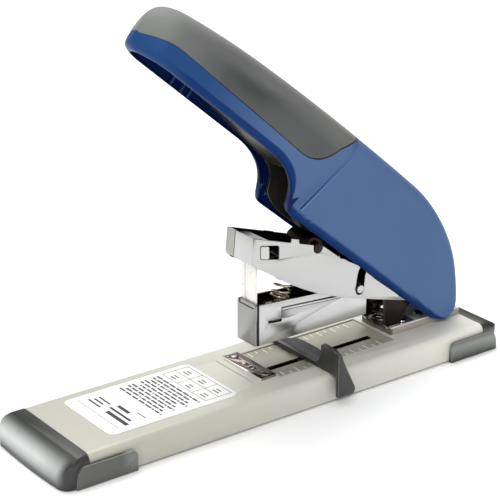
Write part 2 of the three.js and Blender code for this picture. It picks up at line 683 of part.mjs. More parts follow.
// The slot that the link pin runs in, an arc about the hinge.
function linkSlot() {
  const radius = Math.hypot(LINK.x - HINGE.x, LINK.z - HINGE.z);
  const start = Math.atan2(LINK.z - HINGE.z, LINK.x - HINGE.x);
  const play = THREE.MathUtils.degToRad(HANDLE_STROKE * (ARM_RATIO - MAGAZINE_RATIO));
  const half = LINK.r + 0.7;
  const margin = 0.6 / radius;
  const [low, high] = [start + margin, start - play - margin];
  const at = (r, angle) => [HINGE.x + r * Math.cos(angle), HINGE.z + r * Math.sin(angle)];
  const shape = new THREE.Shape();
  shape.absarc(HINGE.x, HINGE.z, radius + half, low, high, true);
  shape.absarc(...at(radius, high), half, high, high - Math.PI, true);
  shape.absarc(HINGE.x, HINGE.z, radius - half, high, low, false);
  shape.absarc(...at(radius, low), half, low + Math.PI, low, true);
  return shape;
}

function driverArm() {
  const { inner, outer } = ARM;
  let arm = bothSides(armSide(), inner, outer, 8);
  const nose = outline([[-13.6, 98.4], [-15, 84.5], [-14.9, 83.4], [-13.6, 83], [-12.3, 97.9]]);
  const face = roundedRect(-outer, outer, 83, 99, 2.6);
  let front = across(nose, -outer, outer).intersect(along(face, -20, -10, 6).add(
    block(-20, -10, -outer, outer, 92, 99)));
  front = front.subtract(block(-20, -10, 4.4, 4.9, 80, 100));
  arm = arm.add(front);
  const web = outline([[0, 86.7], [0, 85.5], [21, 78.9], [21, 80.1]]);
  arm = arm.add(across(web, -inner - 0.5, inner + 0.5));
  const farTab = outline([[10, 100], [10, 91.2], [18.5, 88.6], [18.5, 100]]);
  arm = arm.subtract(across(farTab, 5, 20));
  const windowHole = softened([[-9.6, 93.6], [-9.6, 85.6], [3.2, 82.8], [3.2, 90.9]], 1.1);
  arm = arm.subtract(across(windowHole, -20, 20));
  arm = arm.subtract(across(linkSlot(), -20, 20, 8));
  return arm.subtract(rodAcross(HINGE.x, HINGE.z, HINGE.r + GAP, -20, 20));
}

// The block that drives the blade; its lugs sit in the front half of the arm's windows.
function driverBlock() {
  const head = outline([[-12, 95.6], [-12, 92.2], [-1, 92.2], [-1, 93.5]]);
  const lug = softened([[-9.35, 93.2], [-9.35, 85.9], [-3.9, 84.7], [-3.9, 91.9]], 1.1);
  return across(head, -ARM.inner + 0.2, ARM.inner - 0.2)
    .add(bothSides(lug, 8.6, ARM.outer + 0.3));
}

function driverBlade() {
  const blade = block(-8.3, -7.3, -6.5, 6.5, 56, 90.2);
  return blade.subtract(block(-9, -7.9, 1.2, 3.6, 50, 95));
}

function rollerAxle() {
  return rodAcross(ROLLER.x, ROLLER.z, ROLLER.axleR, -12.75, 12.75);
}

function pressRoller() {
  return tubeAcross(ROLLER.x, ROLLER.z, ROLLER.r, ROLLER.axleR + GAP, -9.6, 9.6);
}

// ---------------------------------------------------------------- handle

function turned([x, z], centre, degrees) {
  const angle = THREE.MathUtils.degToRad(degrees);
  const [dx, dz] = [x - centre.x, z - centre.z];
  return [
    centre.x + dx * Math.cos(angle) - dz * Math.sin(angle),
    centre.z + dx * Math.sin(angle) + dz * Math.cos(angle),
  ];
}

// Where the roller's centre lies in the handle's own frame when the handle is down by this angle.
function rollerPath(angle) {
  const inSpace = turned([ROLLER.x, ROLLER.z], HINGE, ARM_RATIO * angle);
  return turned(inSpace, HANDLE_PIVOT, -angle);
}

// The lever's cam plate: its underside stays just clear of the roller over the whole stroke.
function camPlate() {
  const steps = 8;
  const centres = [];
  for (let i = -1; i <= steps + 1; i += 1) centres.push(rollerPath((i / steps) * HANDLE_STROKE));
  const clearance = ROLLER.r + 0.3;
  const underside = moved(centres, clearance);
  const topside = moved(centres, clearance + 1.8);
  return across(outline([...underside, ...topside.reverse()]), -LEVER.outer, LEVER.outer);
}

function leverSide() {
  const top = backInset(LEVER_INSET).filter(([x, z]) => x > -60 && x < 93 && z > 100);
  const side = new THREE.Shape();
  side.moveTo(-62, 202.8);
  side.lineTo(-40, 184.6);
  side.lineTo(12.6, 130.8);
  side.bezierCurveTo(18.4, 123, 15.4, 118, 14.2, 112.9);
  side.quadraticCurveTo(14, 107.5, 22.7, 98.4);
  side.lineTo(35.5, 87.6);
  side.lineTo(52, 75.1);
  side.quadraticCurveTo(66, 64, 80, 61.6);
  side.absarc(HANDLE_PIVOT.x, HANDLE_PIVOT.z, 13, -2.2, 0.6);
  for (const [x, z] of top.reverse()) side.lineTo(x, z);
  return side;
}

function handleLever() {
  const { inner, outer } = LEVER;
  let lever = bothSides(leverSide(), inner, outer, 8);
  const web = outline([[-62, 202.8], [-40, 184.6], [12.6, 130.8], [14, 131.9], [-38.8, 186], [-61, 204.3]]);
  lever = lever.add(across(web, -outer, outer));
  lever = lever.add(camPlate());
  for (const [x, z] of LEVER_SCREWS) lever = lever.subtract(leverScrewShape(x, z, GAP));
  return lever.subtract(rodAcross(HANDLE_PIVOT.x, HANDLE_PIVOT.z, HANDLE_PIVOT.r + GAP, -20, 20));
}

const LEVER_SCREWS = [[-57, 198.67], [-44.5, 188.34]];
const RIM_ANGLE = Math.atan2(208.3 - 144.6, -78.6 + 3);

// A screw up through the lever's front web into the shell, head below; grow widens it for its hole.
function leverScrewShape(x, z, grow) {
  const shank = new THREE.CylinderGeometry(1.5 + grow, 1.5 + grow, 9, 16);
  shank.translate(0, 4, 0);
  const tilt = RIM_ANGLE - Math.PI;
  shank.rotateX(Math.PI / 2);
  shank.rotateY(-tilt);
  shank.translate(x, 0, z);
  return solid(shank);
}

function leverScrew([x, z]) {
  const tilt = RIM_ANGLE - Math.PI;
  const profile = [[0, -2.4], [1.6, -2.4], [3, -1.4], [3.1, -0.3], [1.5, -0.3], [1.5, 7.5], [0, 7.5]];
  const geometry = new THREE.LatheGeometry(profile.map(([u, v]) => new THREE.Vector2(u, v)), 20);
  geometry.rotateX(Math.PI / 2);
  geometry.rotateY(-tilt);
  geometry.translate(x, 0, z);
  return solid(geometry);
}

function handleShell() {
  const envelope = handleEnvelope();
  const covered = gripZone(0);
  const core = underBack(GRIP_SKIN + 0.3, 16).intersect(covered).intersect(envelope);
  let shell = envelope.subtract(covered).add(core);
  shell = shell.subtract(underBack(CAVITY_INSET, SHELL.inner));
  shell = shell.subtract(block(118, 150, -SHELL.inner, SHELL.inner, 0, 23));
  const { from, to } = FRONT_RIM;
  const direction = new THREE.Vector2(to[0] - from[0], to[1] - from[1]);
  direction.normalize();
  for (const distance of [45.5, 51, 59]) {
    const x = FRONT_RIM.from[0] + direction.x * distance;
    const z = FRONT_RIM.from[1] + direction.y * distance;
    const normal = new THREE.Vector2(direction.y, -direction.x);
    const corner = (along1, up) => [
      x + direction.x * along1 + normal.x * up,
      z + direction.y * along1 + normal.y * up,
    ];
    const rib = outline([corner(0, 1), corner(1.2, 1), corner(1.2, 5), corner(0, 5)]);
    shell = shell.add(bothSides(rib, 13.2, SHELL.inner + 0.3));
  }
  return shell;
}

function handleGrip() {
  return handleEnvelope().intersect(gripZone(0.3)).subtract(underBack(GRIP_SKIN, 16.3));
}

function handleBush(side) {
  const ends = [side * (EAR.outer + 0.15), side * (LEVER.inner - 0.15)];
  const [y0, y1] = ends.sort((a, b) => a - b);
  return tubeAcross(HANDLE_PIVOT.x, HANDLE_PIVOT.z, 6, HANDLE_PIVOT.r + GAP, y0, y1);
}

// ---------------------------------------------------------------- assembly

function body(parent) {
  const group = new THREE.Group();
  parent.add(group);
  return group;
}

function place(group, name, shape, finish) {
  const geometry = shape instanceof THREE.BufferGeometry ? geometryOf(solid(shape)) : geometryOf(shape);
  const mesh = new THREE.Mesh(geometry, finish());
  mesh.name = name;
  group.add(mesh);
}

const stapler = new THREE.Group();

const base = body(stapler);
place(base, 'base_shell', baseShell(), PAINT);
place(base, 'bottom_plate', bottomPlate(), STEEL);
place(base, 'front_cap', endCap(-1, FRONT_CAP.x, FRONT_CAP.rail, 8, FRONT_CORNER, FRONT_NOSE), CAP_PLASTIC);
place(base, 'rear_cap', endCap(1, REAR_CAP.x, REAR_CAP.rail, 8, REAR_CORNER, REAR_NOSE), CAP_PLASTIC);
FOOT_PLACES.forEach((spot, i) => place(base, `foot_${i + 1}`, foot(spot), RUBBER));
place(base, 'base_label', baseLabel(), LABEL_FILM);
place(base, 'anvil_plate', anvilPlate(), STEEL);
for (const [side, word] of [[-1, 'near'], [1, 'far']]) {
  const z = BASE.top + BOSS.height + 0.2 + ANVIL.thickness;
  place(base, `anvil_rivet_${word}`,
    rivet(ANVIL.x, side * ANVIL.rivetY, z, 2.7, 1, ANVIL.shankR, 3.6), STEEL);
}
place(base, 'base_frame', baseFrame(), CHROME);
place(base, 'hinge_bracket', hingeBracket(), CHROME);
FRAME_RIVETS.forEach((spot, i) => place(base, `frame_rivet_${i + 1}`, frameRivet(spot), CHROME));
place(base, 'hinge_pin', hingePin(), STEEL);
place(base, 'hinge_pin_clip', hingePinClip(), DARK_STEEL);
place(base, 'handle_pin', handlePin(), STEEL);
const liftStart = new THREE.Vector3(LIFT_SPRING.x, 0, 19.6);
place(base, 'magazine_lift_spring', coil(liftStart, Z, X, LIFT_SPRING.radius, LIFT_SPRING.wireR,
  LIFT_SPRING.length, LIFT_SPRING.turns), SPRING_STEEL);

const guide = body(stapler);
place(guide, 'paper_stop', paperStop(), STOP_PLASTIC);
place(guide, 'stop_slider', stopSlider(), STOP_PLASTIC);

const magazine = body(stapler);
place(magazine, 'magazine_channel', magazineChannel(), CHROME);
place(magazine, 'magazine_front_plate', magazineFrontPlate(), CHROME);
place(magazine, 'magazine_cover', magazineCover(), STEEL);
place(magazine, 'staple_rail', stapleRail(), STEEL);
place(magazine, 'pusher_rod', rodAlong(0, PUSHER.rodZ, PUSHER.rodR, -5, 67.5), STEEL);
place(magazine, 'magazine_rear_block', magazineRearBlock(), STOP_PLASTIC);
place(magazine, 'link_pin', rodAcross(LINK.x, LINK.z, LINK.r, -13.2, 13.2), STEEL);
place(magazine, 'hinge_spacer', tubeAcross(HINGE.x, HINGE.z, 5, HINGE.r + GAP, -6.9, 6.9), STEEL);
const armSpringStart = new THREE.Vector3(ARM_SPRING.x, 0, ARM_SPRING.z0);
const lean = THREE.MathUtils.degToRad(ARM_SPRING.lean);
const armSpringAxis = new THREE.Vector3(Math.sin(lean), 0, Math.cos(lean));
const armSpringSide = new THREE.Vector3(Math.cos(lean), 0, -Math.sin(lean));
place(magazine, 'arm_return_spring', coil(armSpringStart, armSpringAxis, armSpringSide, ARM_SPRING.radius,
  ARM_SPRING.wireR, ARM_SPRING.length, ARM_SPRING.turns), SPRING_STEEL);
const pusherSpringStart = new THREE.Vector3(PUSHER.x1 + 0.2, 0, PUSHER.rodZ);
place(magazine, 'pusher_spring', coil(pusherSpringStart, X, Z, 2.3, 0.4,
  REAR_BLOCK_X - PUSHER.x1 - 0.4, 14, 8), SPRING_STEEL);

const pusher = body(magazine);
place(pusher, 'staple_pusher', staplePusher(), STOP_PLASTIC);

const driver = body(magazine);
place(driver, 'driver_blade', driverBlade(), STEEL);

const arm = body(stapler);
place(arm, 'driver_arm', driverArm(), CHROME);
place(arm, 'driver_block', driverBlock(), STEEL);
place(arm, 'roller_axle', rollerAxle(), DARK_STEEL);

const roller = body(arm);
place(roller, 'press_roller', pressRoller(), DARK_STEEL);

const handle = body(stapler);
place(handle, 'handle_shell', handleShell(), BLUE_PLASTIC);
place(handle, 'handle_grip', handleGrip(), GREY_GRIP);
place(handle, 'handle_lever', handleLever(), DARK_STEEL);
LEVER_SCREWS.forEach((spot, i) => place(handle, `lever_screw_${i + 1}`, leverScrew(spot), STEEL));
place(handle, 'handle_bush_near', handleBush(-1), BUSH_PLASTIC);
place(handle, 'handle_bush_far', handleBush(1), BUSH_PLASTIC);
const coilStart = new THREE.Vector3(HANDLE_PIVOT.x, -7.5, HANDLE_PIVOT.z);
place(handle, 'handle_spring', coil(coilStart, Y, X, 5.4, 0.8, 15, 7), SPRING_STEEL);

export default stapler;
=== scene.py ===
import json
import math

import bmesh
import bpy
import numpy as np
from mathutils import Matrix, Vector


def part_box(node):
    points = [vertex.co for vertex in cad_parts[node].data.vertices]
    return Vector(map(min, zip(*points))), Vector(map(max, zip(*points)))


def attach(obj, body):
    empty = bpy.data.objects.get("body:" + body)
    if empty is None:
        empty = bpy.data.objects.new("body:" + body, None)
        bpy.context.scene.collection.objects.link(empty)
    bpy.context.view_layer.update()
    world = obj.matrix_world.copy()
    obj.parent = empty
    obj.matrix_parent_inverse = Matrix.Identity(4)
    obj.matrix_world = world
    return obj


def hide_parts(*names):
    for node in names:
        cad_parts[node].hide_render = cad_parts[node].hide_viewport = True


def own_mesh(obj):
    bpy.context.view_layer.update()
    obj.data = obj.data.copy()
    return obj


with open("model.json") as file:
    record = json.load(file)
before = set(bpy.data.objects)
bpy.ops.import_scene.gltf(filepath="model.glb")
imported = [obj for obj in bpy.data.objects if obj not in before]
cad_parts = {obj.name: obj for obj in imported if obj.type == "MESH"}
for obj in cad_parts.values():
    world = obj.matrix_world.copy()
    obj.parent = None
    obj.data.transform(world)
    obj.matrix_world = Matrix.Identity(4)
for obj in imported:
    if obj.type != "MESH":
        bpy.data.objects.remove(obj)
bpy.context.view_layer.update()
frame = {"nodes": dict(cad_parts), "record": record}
NODES = frame["nodes"]
MM = 0.001

# ---------------------------------------------------------------- camera, floor and light

CAMERA_AT = Vector((-0.5184, -0.6871, 0.4167))
CAMERA_AZIMUTH = math.radians(-36.64)
CAMERA_ELEVATION = math.radians(21.06)
LENS_MM = 121.97
SENSOR_MM = 36
WORLD_STRENGTH = 0.52
# The world's grey by how far a ray points up: 0 straight down, 1 straight up.
WORLD_TONES = ((0.0, 0.85), (0.06, 0.95), (0.30, 1.0), (0.42, 0.35), (0.55, 0.30), (0.68, 1.0), (1.0, 1.0))
FLOOR_HALF = 6.0
FLOOR_DROP = 0.0002


def make_camera():
    data = bpy.data.cameras.new("camera")
    data.lens = LENS_MM
    data.sensor_width = SENSOR_MM
    data.clip_start, data.clip_end = 0.01, 20
    camera = bpy.data.objects.new("camera", data)
    bpy.context.scene.collection.objects.link(camera)
    a, e = CAMERA_AZIMUTH, CAMERA_ELEVATION
    back = Vector((math.sin(a) * math.cos(e), -math.cos(a) * math.cos(e), math.sin(e)))
    camera.location = CAMERA_AT
    camera.rotation_mode = "QUATERNION"
    camera.rotation_quaternion = (-back).to_track_quat("-Z", "Y")
    bpy.context.scene.camera = camera


def area_light(name, at, towards, size, power):
    data = bpy.data.lights.new(name, "AREA")
    data.shape = "RECTANGLE"
    data.size, data.size_y = size
    data.energy = power
    light = bpy.data.objects.new(name, data)
    bpy.context.scene.collection.objects.link(light)
    light.location = at
    direction = Vector(towards) - Vector(at)
    light.rotation_mode = "QUATERNION"
    light.rotation_quaternion = direction.to_track_quat("-Z", "Y")


def make_studio():
    """A pale floor, a world that is darker near the horizon, and five soft lights."""
    scene = bpy.context.scene
    scene.view_settings.view_transform = "Standard"
    world = bpy.data.worlds.new("studio")
    scene.world = world
    world.use_nodes = True
    tree = world.node_tree
    tree.nodes.clear()
    out = tree.nodes.new("ShaderNodeOutputWorld")
    background = tree.nodes.new("ShaderNodeBackground")
    background.inputs["Strength"].default_value = WORLD_STRENGTH
    coords = tree.nodes.new("ShaderNodeTexCoord")
    split = tree.nodes.new("ShaderNodeSeparateXYZ")
    ramp = tree.nodes.new("ShaderNodeValToRGB")
    elements = ramp.color_ramp.elements
    while len(elements) < len(WORLD_TONES):
        elements.new(0.5)
    for element, (place, value) in zip(elements, WORLD_TONES):
        element.position = place
        element.color = (value, value, value, 1)
    tree.links.new(coords.outputs["Generated"], split.inputs[0])
    tree.links.new(split.outputs["Z"], ramp.inputs["Fac"])
    tree.links.new(ramp.outputs["Color"], background.inputs["Color"])
    tree.links.new(background.outputs[0], out.inputs["Surface"])

    floor_mesh = bpy.data.meshes.new("floor")
    s = FLOOR_HALF
    floor_mesh.from_pydata([(-s, -s, 0), (s, -s, 0), (s, s, 0), (-s, s, 0)], [], [(0, 1, 2, 3)])
    floor = bpy.data.objects.new("floor", floor_mesh)
    floor.location = (0, 0, -FLOOR_DROP)
    scene.collection.objects.link(floor)
    paper = bpy.data.materials.new("floor_white")
    paper.use_nodes = True
    shader = paper.node_tree.nodes["Principled BSDF"]
    shader.inputs["Base Color"].default_value = (0.97, 0.97, 0.97, 1)
    shader.inputs["Roughness"].default_value = 0.9
    shader.inputs["Specular IOR Level"].default_value = 0.1
    floor.data.materials.append(paper)

    area_light("key", (-0.8, -1.0, 1.3), (0.05, 0, 0.08), (1.0, 0.8), 11.5)
    area_light("front_fill", (0.5, -1.5, 0.6), (0, 0, 0.08), (1.4, 0.8), 3)
    area_light("top", (0.0, 0.3, 1.6), (0, 0, 0.05), (0.9, 0.7), 13)
    area_light("back_floor", (0.8, 1.1, 1.5), (0.8, 1.1, 0), (1.6, 1.6), 18)
    area_light("left_strip", (-1.5, 0.2, 0.5), (0, 0, 0.12), (0.3, 1.2), 2)


# ---------------------------------------------------------------- materials

def linear(r, g, b):
    """An sRGB colour of 0 to 255 as linear values."""
    def channel(value):
        value /= 255
        return value / 12.92 if value <= 0.04045 else ((value + 0.055) / 1.055) ** 2.4
    return channel(r), channel(g), channel(b)


def scaled(colour, factor):
    return tuple(min(1.0, c * factor) for c in colour) + (1.0,)


class Finish:
    """A procedural material: mottled colour, uneven roughness, fine bump, painted edge highlights and
    outlines, and colour zones, most of them painted light and shade.
    """

    def __init__(self, name, colour, roughness, metallic=0.0):
        self.material = bpy.data.materials.new(name)
        self.material.use_nodes = True
        self.tree = self.material.node_tree
        self.shader = self.tree.nodes["Principled BSDF"]
        self.shader.inputs["Metallic"].default_value = metallic
        self.coords = self.tree.nodes.new("ShaderNodeTexCoord")
        self.colour = colour
        self.roughness = roughness
        self.height = None

    def link(self, a, b):
        self.tree.links.new(a, b)

    def noise(self, scale, detail=3.0, stretch=(1, 1, 1)):
        mapping = self.tree.nodes.new("ShaderNodeMapping")
        mapping.inputs["Scale"].default_value = stretch
        texture = self.tree.nodes.new("ShaderNodeTexNoise")
        texture.inputs["Scale"].default_value = scale
        texture.inputs["Detail"].default_value = detail
        texture.inputs["Roughness"].default_value = 0.5
        self.link(self.coords.outputs["Object"], mapping.inputs["Vector"])
        self.link(mapping.outputs["Vector"], texture.inputs["Vector"])
        return texture.outputs["Fac"]

    def ramp(self, value, low, high, start=0.3, end=0.7):
        node = self.tree.nodes.new("ShaderNodeMapRange")
        node.inputs["From Min"].default_value = start
        node.inputs["From Max"].default_value = end
        node.inputs["To Min"].default_value = low
        node.inputs["To Max"].default_value = high
        self.link(value, node.inputs["Value"])
        return node.outputs["Result"]

    def mix(self, factor, a, b):
        node = self.tree.nodes.new("ShaderNodeMix")
        node.data_type = "RGBA"
        self.link(factor, node.inputs["Factor"])
        for socket, value in ((node.inputs["A"], a), (node.inputs["B"], b)):
            if isinstance(value, tuple):
                socket.default_value = value
            else:
                self.link(value, socket)
        return node.outputs["Result"]

    def times(self, a, b):
        node = self.tree.nodes.new("ShaderNodeMath")
        node.operation = "MULTIPLY"
        self.link(a, node.inputs[0])
        self.link(b, node.inputs[1])
        return node.outputs[0]

    def mottle(self, amount, scale, stretch=(1, 1, 1)):
        """Sets the base colour with soft variation around it."""
        low, high = scaled(self.colour, 1 - amount), scaled(self.colour, 1 + amount)
        self.base = self.mix(self.ramp(self.noise(scale, 4, stretch), 0, 1), low, high)
        return self

    def uneven(self, amount, scale, stretch=(1, 1, 1)):
        """Sets the roughness with soft variation around it."""
        r = self.roughness
        self.rough = self.ramp(self.noise(scale, 4, stretch), max(0.02, r - amount), min(1, r + amount))
        return self

    def grain(self, scale, depth, detail=2.0, stretch=(1, 1, 1)):
        """Adds bump of this depth in millimetres."""
        node = self.tree.nodes.new("ShaderNodeBump")
        node.inputs["Distance"].default_value = depth * MM
        node.inputs["Strength"].default_value = 1.0
        self.link(self.noise(scale, detail, stretch), node.inputs["Height"])
        if self.height is not None:
            self.link(self.height, node.inputs["Normal"])
        self.height = node.outputs["Normal"]
        return self

    def edges(self, colour, radius=0.5, share=0.7):
        """Takes this colour along sharp edges, in patches: a painted highlight where it is lighter than the
        surface, a painted dark outline where it is darker.
        """
        bevel = self.tree.nodes.new("ShaderNodeBevel")
        bevel.samples = 4
        bevel.inputs["Radius"].default_value = radius * MM
        geometry = self.tree.nodes.new("ShaderNodeNewGeometry")
        dot = self.tree.nodes.new("ShaderNodeVectorMath")
        dot.operation = "DOT_PRODUCT"
        self.link(bevel.outputs["Normal"], dot.inputs[0])
        self.link(geometry.outputs["Normal"], dot.inputs[1])
        mask = self.ramp(dot.outputs["Value"], share, 0, 0.75, 0.97)
        patchy = self.ramp(self.noise(160, 4), 0.2, 1, 0.35, 0.65)
        self.base = self.mix(self.times(mask, patchy), self.base, tuple(colour) + (1.0,))
        return self

    def local(self, direction, start, end):
        """A 0 to 1 factor along a direction of the object, between two distances in millimetres."""
        dot = self.tree.nodes.new("ShaderNodeVectorMath")
        dot.operation = "DOT_PRODUCT"
        dot.inputs[1].default_value = direction
        self.link(self.coords.outputs["Object"], dot.inputs[0])
        return self.ramp(dot.outputs["Value"], 0, 1, start * MM, end * MM)

    def toward(self, colour, direction, start, end):
        """Lets the base colour drift to another along a direction of the object."""
        self.base = self.mix(self.local(direction, start, end), self.base, tuple(colour) + (1.0,))
        return self

    def zone(self, colour, *steps):
        """Takes this colour where every step holds: a direction and the two distances it rises between."""
        factor = None
        for step in steps:
            rise = self.local(*step)
            factor = rise if factor is None else self.times(factor, rise)
        self.base = self.mix(factor, self.base, tuple(colour) + (1.0,))
        return self

    def inside(self, colour, half, first):
        """Takes this colour between the side walls: nearer the middle plane than half, behind first."""
        return self.zone(colour, ((0, 1, 0), -half - 0.05, -half + 0.05),
                         ((0, -1, 0), -half - 0.05, -half + 0.05), ((1, 0, 0), first - 0.1, first + 0.1))

    def marked(self, name, colour):
        """Takes this colour where the mesh's own point attribute says so."""
        node = self.tree.nodes.new("ShaderNodeAttribute")
        node.attribute_name = name
        self.base = self.mix(node.outputs["Fac"], self.base, tuple(colour) + (1.0,))
        return self

    def stroke(self, colour, start, end, offset, half):
        """Draws a fine line along a side-view segment in millimetres, fading out at its far end."""
        along = (end - start) / np.linalg.norm(end - start)
        across = np.array((-along[1], along[0]))
        middle = start @ across + offset
        ahead, back = (along[0], 0, along[1]), (-along[0], 0, -along[1])
        left, right = (across[0], 0, across[1]), (-across[0], 0, -across[1])
        first, last = start @ along, end @ along
        return self.zone(colour, (ahead, first - 0.5, first + 1), (back, -last, -first),
                         (left, middle - half - 0.2, middle - half),
                         (right, -middle - half - 0.2, -middle - half))

    def done(self, **sockets):
        self.link(self.base, self.shader.inputs["Base Color"])
        self.link(self.rough, self.shader.inputs["Roughness"])
        if self.height is not None:
            self.link(self.height, self.shader.inputs["Normal"])
        for name, value in sockets.items():
            self.shader.inputs[name.replace("_", " ")].default_value = value
        return self.material


def make_materials():
    """Every finish by its slot or by its own name; zones are in the object's own millimetres."""
    m = {}
    # Both paints are lighter along sharp edges: painted edge highlights.
    m["paint"] = (Finish("paint_warm_grey", linear(203, 202, 192), 0.38)
                  .mottle(0.025, 22).uneven(0.07, 60).grain(900, 0.012).grain(120, 0.02)
                  .edges(linear(226, 225, 216), 0.6, 0.5).done(Coat_Weight=0.1, Coat_Roughness=0.2))
    m["paint_slotted"] = (Finish("paint_with_slot", linear(203, 202, 192), 0.38)
                          .mottle(0.025, 22).uneven(0.07, 60).grain(900, 0.012).grain(120, 0.02)
                          .edges(linear(226, 225, 216), 0.6, 0.5)
                          # Painted light and shade: darker toward the front end, lighter toward the rear.
                          .toward(linear(180, 179, 166), (-1, 0, 0), -10, 90)
                          .toward(linear(220, 219, 209), (1, 0, 0), 40, 95)
                          # The sunk scale panel in a greener grey, darkened with painted shade from the arm
                          # above.
                          .zone(linear(172, 170, 154), ((0, 1, 0), -19, -18.9), ((0, -1, 0), -19, -18.9),
                                ((1, 0, 0), -0.6, -0.5), ((-1, 0, 0), -83.2, -83.1),
                                ((0, 0, -1), -16.3, -16.2))
                          # Painted shade down inside the slot.
                          .zone(linear(34, 32, 28), ((0, 1, 0), -8.1, -8.0), ((0, -1, 0), 3.2, 3.3),
                                ((0, 0, -1), -15.6, -15.5))
                          .done(Coat_Weight=0.1, Coat_Roughness=0.2))
    m["cap_plastic"] = (Finish("cap_plastic_dark", linear(38, 38, 35), 0.34)
                        # Painted light: lighter below the top of the caps and in a band across the front
                        # cap; painted shade toward the bottom.
                        .mottle(0.08, 35).toward(linear(128, 131, 128), (0, 0, -1), -14.5, -9)
                        .zone(linear(156, 161, 158), ((-1, 0, 0), 100, 110), ((0, 0, -1), -15.6, -10.4))
                        .toward(linear(58, 60, 58), (0, 0, -1), -8, -1)
                        # A painted highlight across the nose face, from the middle to the far side.
                        .zone(linear(212, 216, 214), ((-1, 0, 0), 141, 148), ((0, 1, 0), -38, -8),
                              ((0, 0, -1), -14.8, -9.4), ((0, 0, 1), 2.6, 8.6))
                        # Painted shade at the front cap's near front corner.
                        .zone(linear(42, 43, 41), ((-1, 0, 0), 110, 115), ((0, -1, 0), 27, 33))
                        # A painted highlight band on the front cap's near rail.
                        .zone(linear(92, 94, 90), ((0, -1, 0), 35.0, 37.0), ((-1, 0, 0), 60, 70))
                        .uneven(0.08, 80).grain(1500, 0.02)
                        # Lighter edges: painted edge highlights.
                        .edges(linear(168, 171, 166), 1.0, 0.7).done())
    m["foot_rubber"] = (Finish("foot_rubber", linear(40, 40, 40), 0.8)
                        .mottle(0.15, 90).uneven(0.1, 120).grain(1400, 0.05).done())
    m["plate_steel"] = (Finish("plate_zinc", linear(168, 168, 164), 0.35, 1.0)
                        .mottle(0.08, 60).uneven(0.12, 45).grain(1200, 0.01, stretch=(0.05, 1, 1)).done())
    m["label_film"] = (Finish("label_film", linear(242, 243, 240), 0.3)
                       .mottle(0.015, 30).uneven(0.05, 60).grain(700, 0.006).done())
    m["label_ink"] = (Finish("label_ink", linear(44, 46, 48), 0.5)
                      .mottle(0.1, 200).uneven(0.05, 100).grain(900, 0.005).done())
    # A darker copy of the spring wire: painted shade on the spring down in the hinge.
    m["lift_wire"] = (Finish("lift_spring_wire_shaded", linear(72, 58, 48), 0.22, 1.0)
                      .mottle(0.1, 300).uneven(0.08, 200).grain(1500, 0.008).done())
    m["anvil_steel"] = (Finish("anvil_steel", linear(150, 140, 136), 0.2, 1.0)
                        .mottle(0.06, 150).uneven(0.06, 120).grain(1500, 0.006, stretch=(1, 0.08, 1))
                        # Bright edges and a bright strip along the front edge: painted highlights.
                        .edges(linear(246, 244, 240), 0.4, 0.9)
                        .zone(linear(255, 254, 250), ((-1, 0, 0), 13.0, 13.2)).done())
    # Painted shade: dark outlines along the chrome edges, and the dark inside of the arm's and the
    # magazine's open channels.
    painted_edge_outline, painted_channel_shade = linear(52, 48, 44), linear(38, 31, 27)

    def chrome(name, level, roughness=0.13):
        return (Finish(name, linear(level, level, level - 1), roughness, 1.0)
                .mottle(0.03, 25).uneven(0.05, 70)
                .grain(60, 0.012).grain(900, 0.0012, stretch=(0.1, 1, 1)).edges(painted_edge_outline, 0.4, 0.9))

    m["chrome"] = chrome("chrome_sheet", 222).done()
    # Painted shade inside the arm's and the magazine's channels; the arm's nose a darker grey on its far
    # side, the magazine dark at its front end.
    m["chrome_arm"] = (chrome("chrome_arm", 186).inside(painted_channel_shade, 11.7, -12.6)
                       .zone(linear(160, 159, 155), ((0, 1, 0), 4.4, 4.6), ((-1, 0, 0), 12.6, 12.8)).done())
    m["chrome_magazine"] = (chrome("chrome_magazine", 198, 0.24).inside(painted_channel_shade, 7.7, -9.0)
                            .zone(linear(46, 46, 50), ((-1, 0, 0), 6.9, 7.5)).done())
    m["chrome_front"] = chrome("chrome_front", 150, 0.2).done()
    m["chrome_bracket"] = (Finish("chrome_bracket", linear(40, 30, 27), 0.2, 0.9)
                           .mottle(0.12, 40).uneven(0.05, 70).grain(900, 0.004)
                           # Lighter edges are painted highlights, and the floor below 21 mm is a painted
                           # white reflection.
                           .edges(linear(236, 234, 230), 0.45, 0.95)
                           .zone(linear(246, 246, 244), ((0, 0, -1), -21.5, -21.0)).done())
    m["pin_steel"] = (Finish("pin_steel", linear(190, 190, 188), 0.22, 1.0)
                      .mottle(0.08, 200).uneven(0.1, 150).grain(1600, 0.01).done())
    m["dark_steel"] = (Finish("lever_steel_oiled", linear(44, 41, 36), 0.34, 0.0)
                       .mottle(0.3, 45).uneven(0.12, 60).grain(700, 0.02)
                       # Bright edges: painted highlight lines along the lever's edges.
                       .edges(linear(248, 244, 232), 0.6, 0.95).done(Specular_IOR_Level=0.04))
    m["spring_steel"] = (Finish("spring_wire", linear(214, 202, 172), 0.2, 1.0)
                         .mottle(0.1, 300).uneven(0.08, 200).grain(1500, 0.008).done())
    m["stop_plastic"] = (Finish("stop_plastic", linear(43, 44, 43), 0.33)
                         .mottle(0.08, 60).uneven(0.08, 90).grain(1500, 0.03)
                         # Lighter edges: painted edge highlights.
                         .edges(linear(158, 160, 160), 0.8, 0.8).done())
    m["sheet_steel"] = (Finish("sheet_steel", linear(196, 196, 194), 0.28, 1.0)
                        .mottle(0.06, 80).uneven(0.1, 90).grain(1400, 0.01, stretch=(0.06, 1, 1)).done())
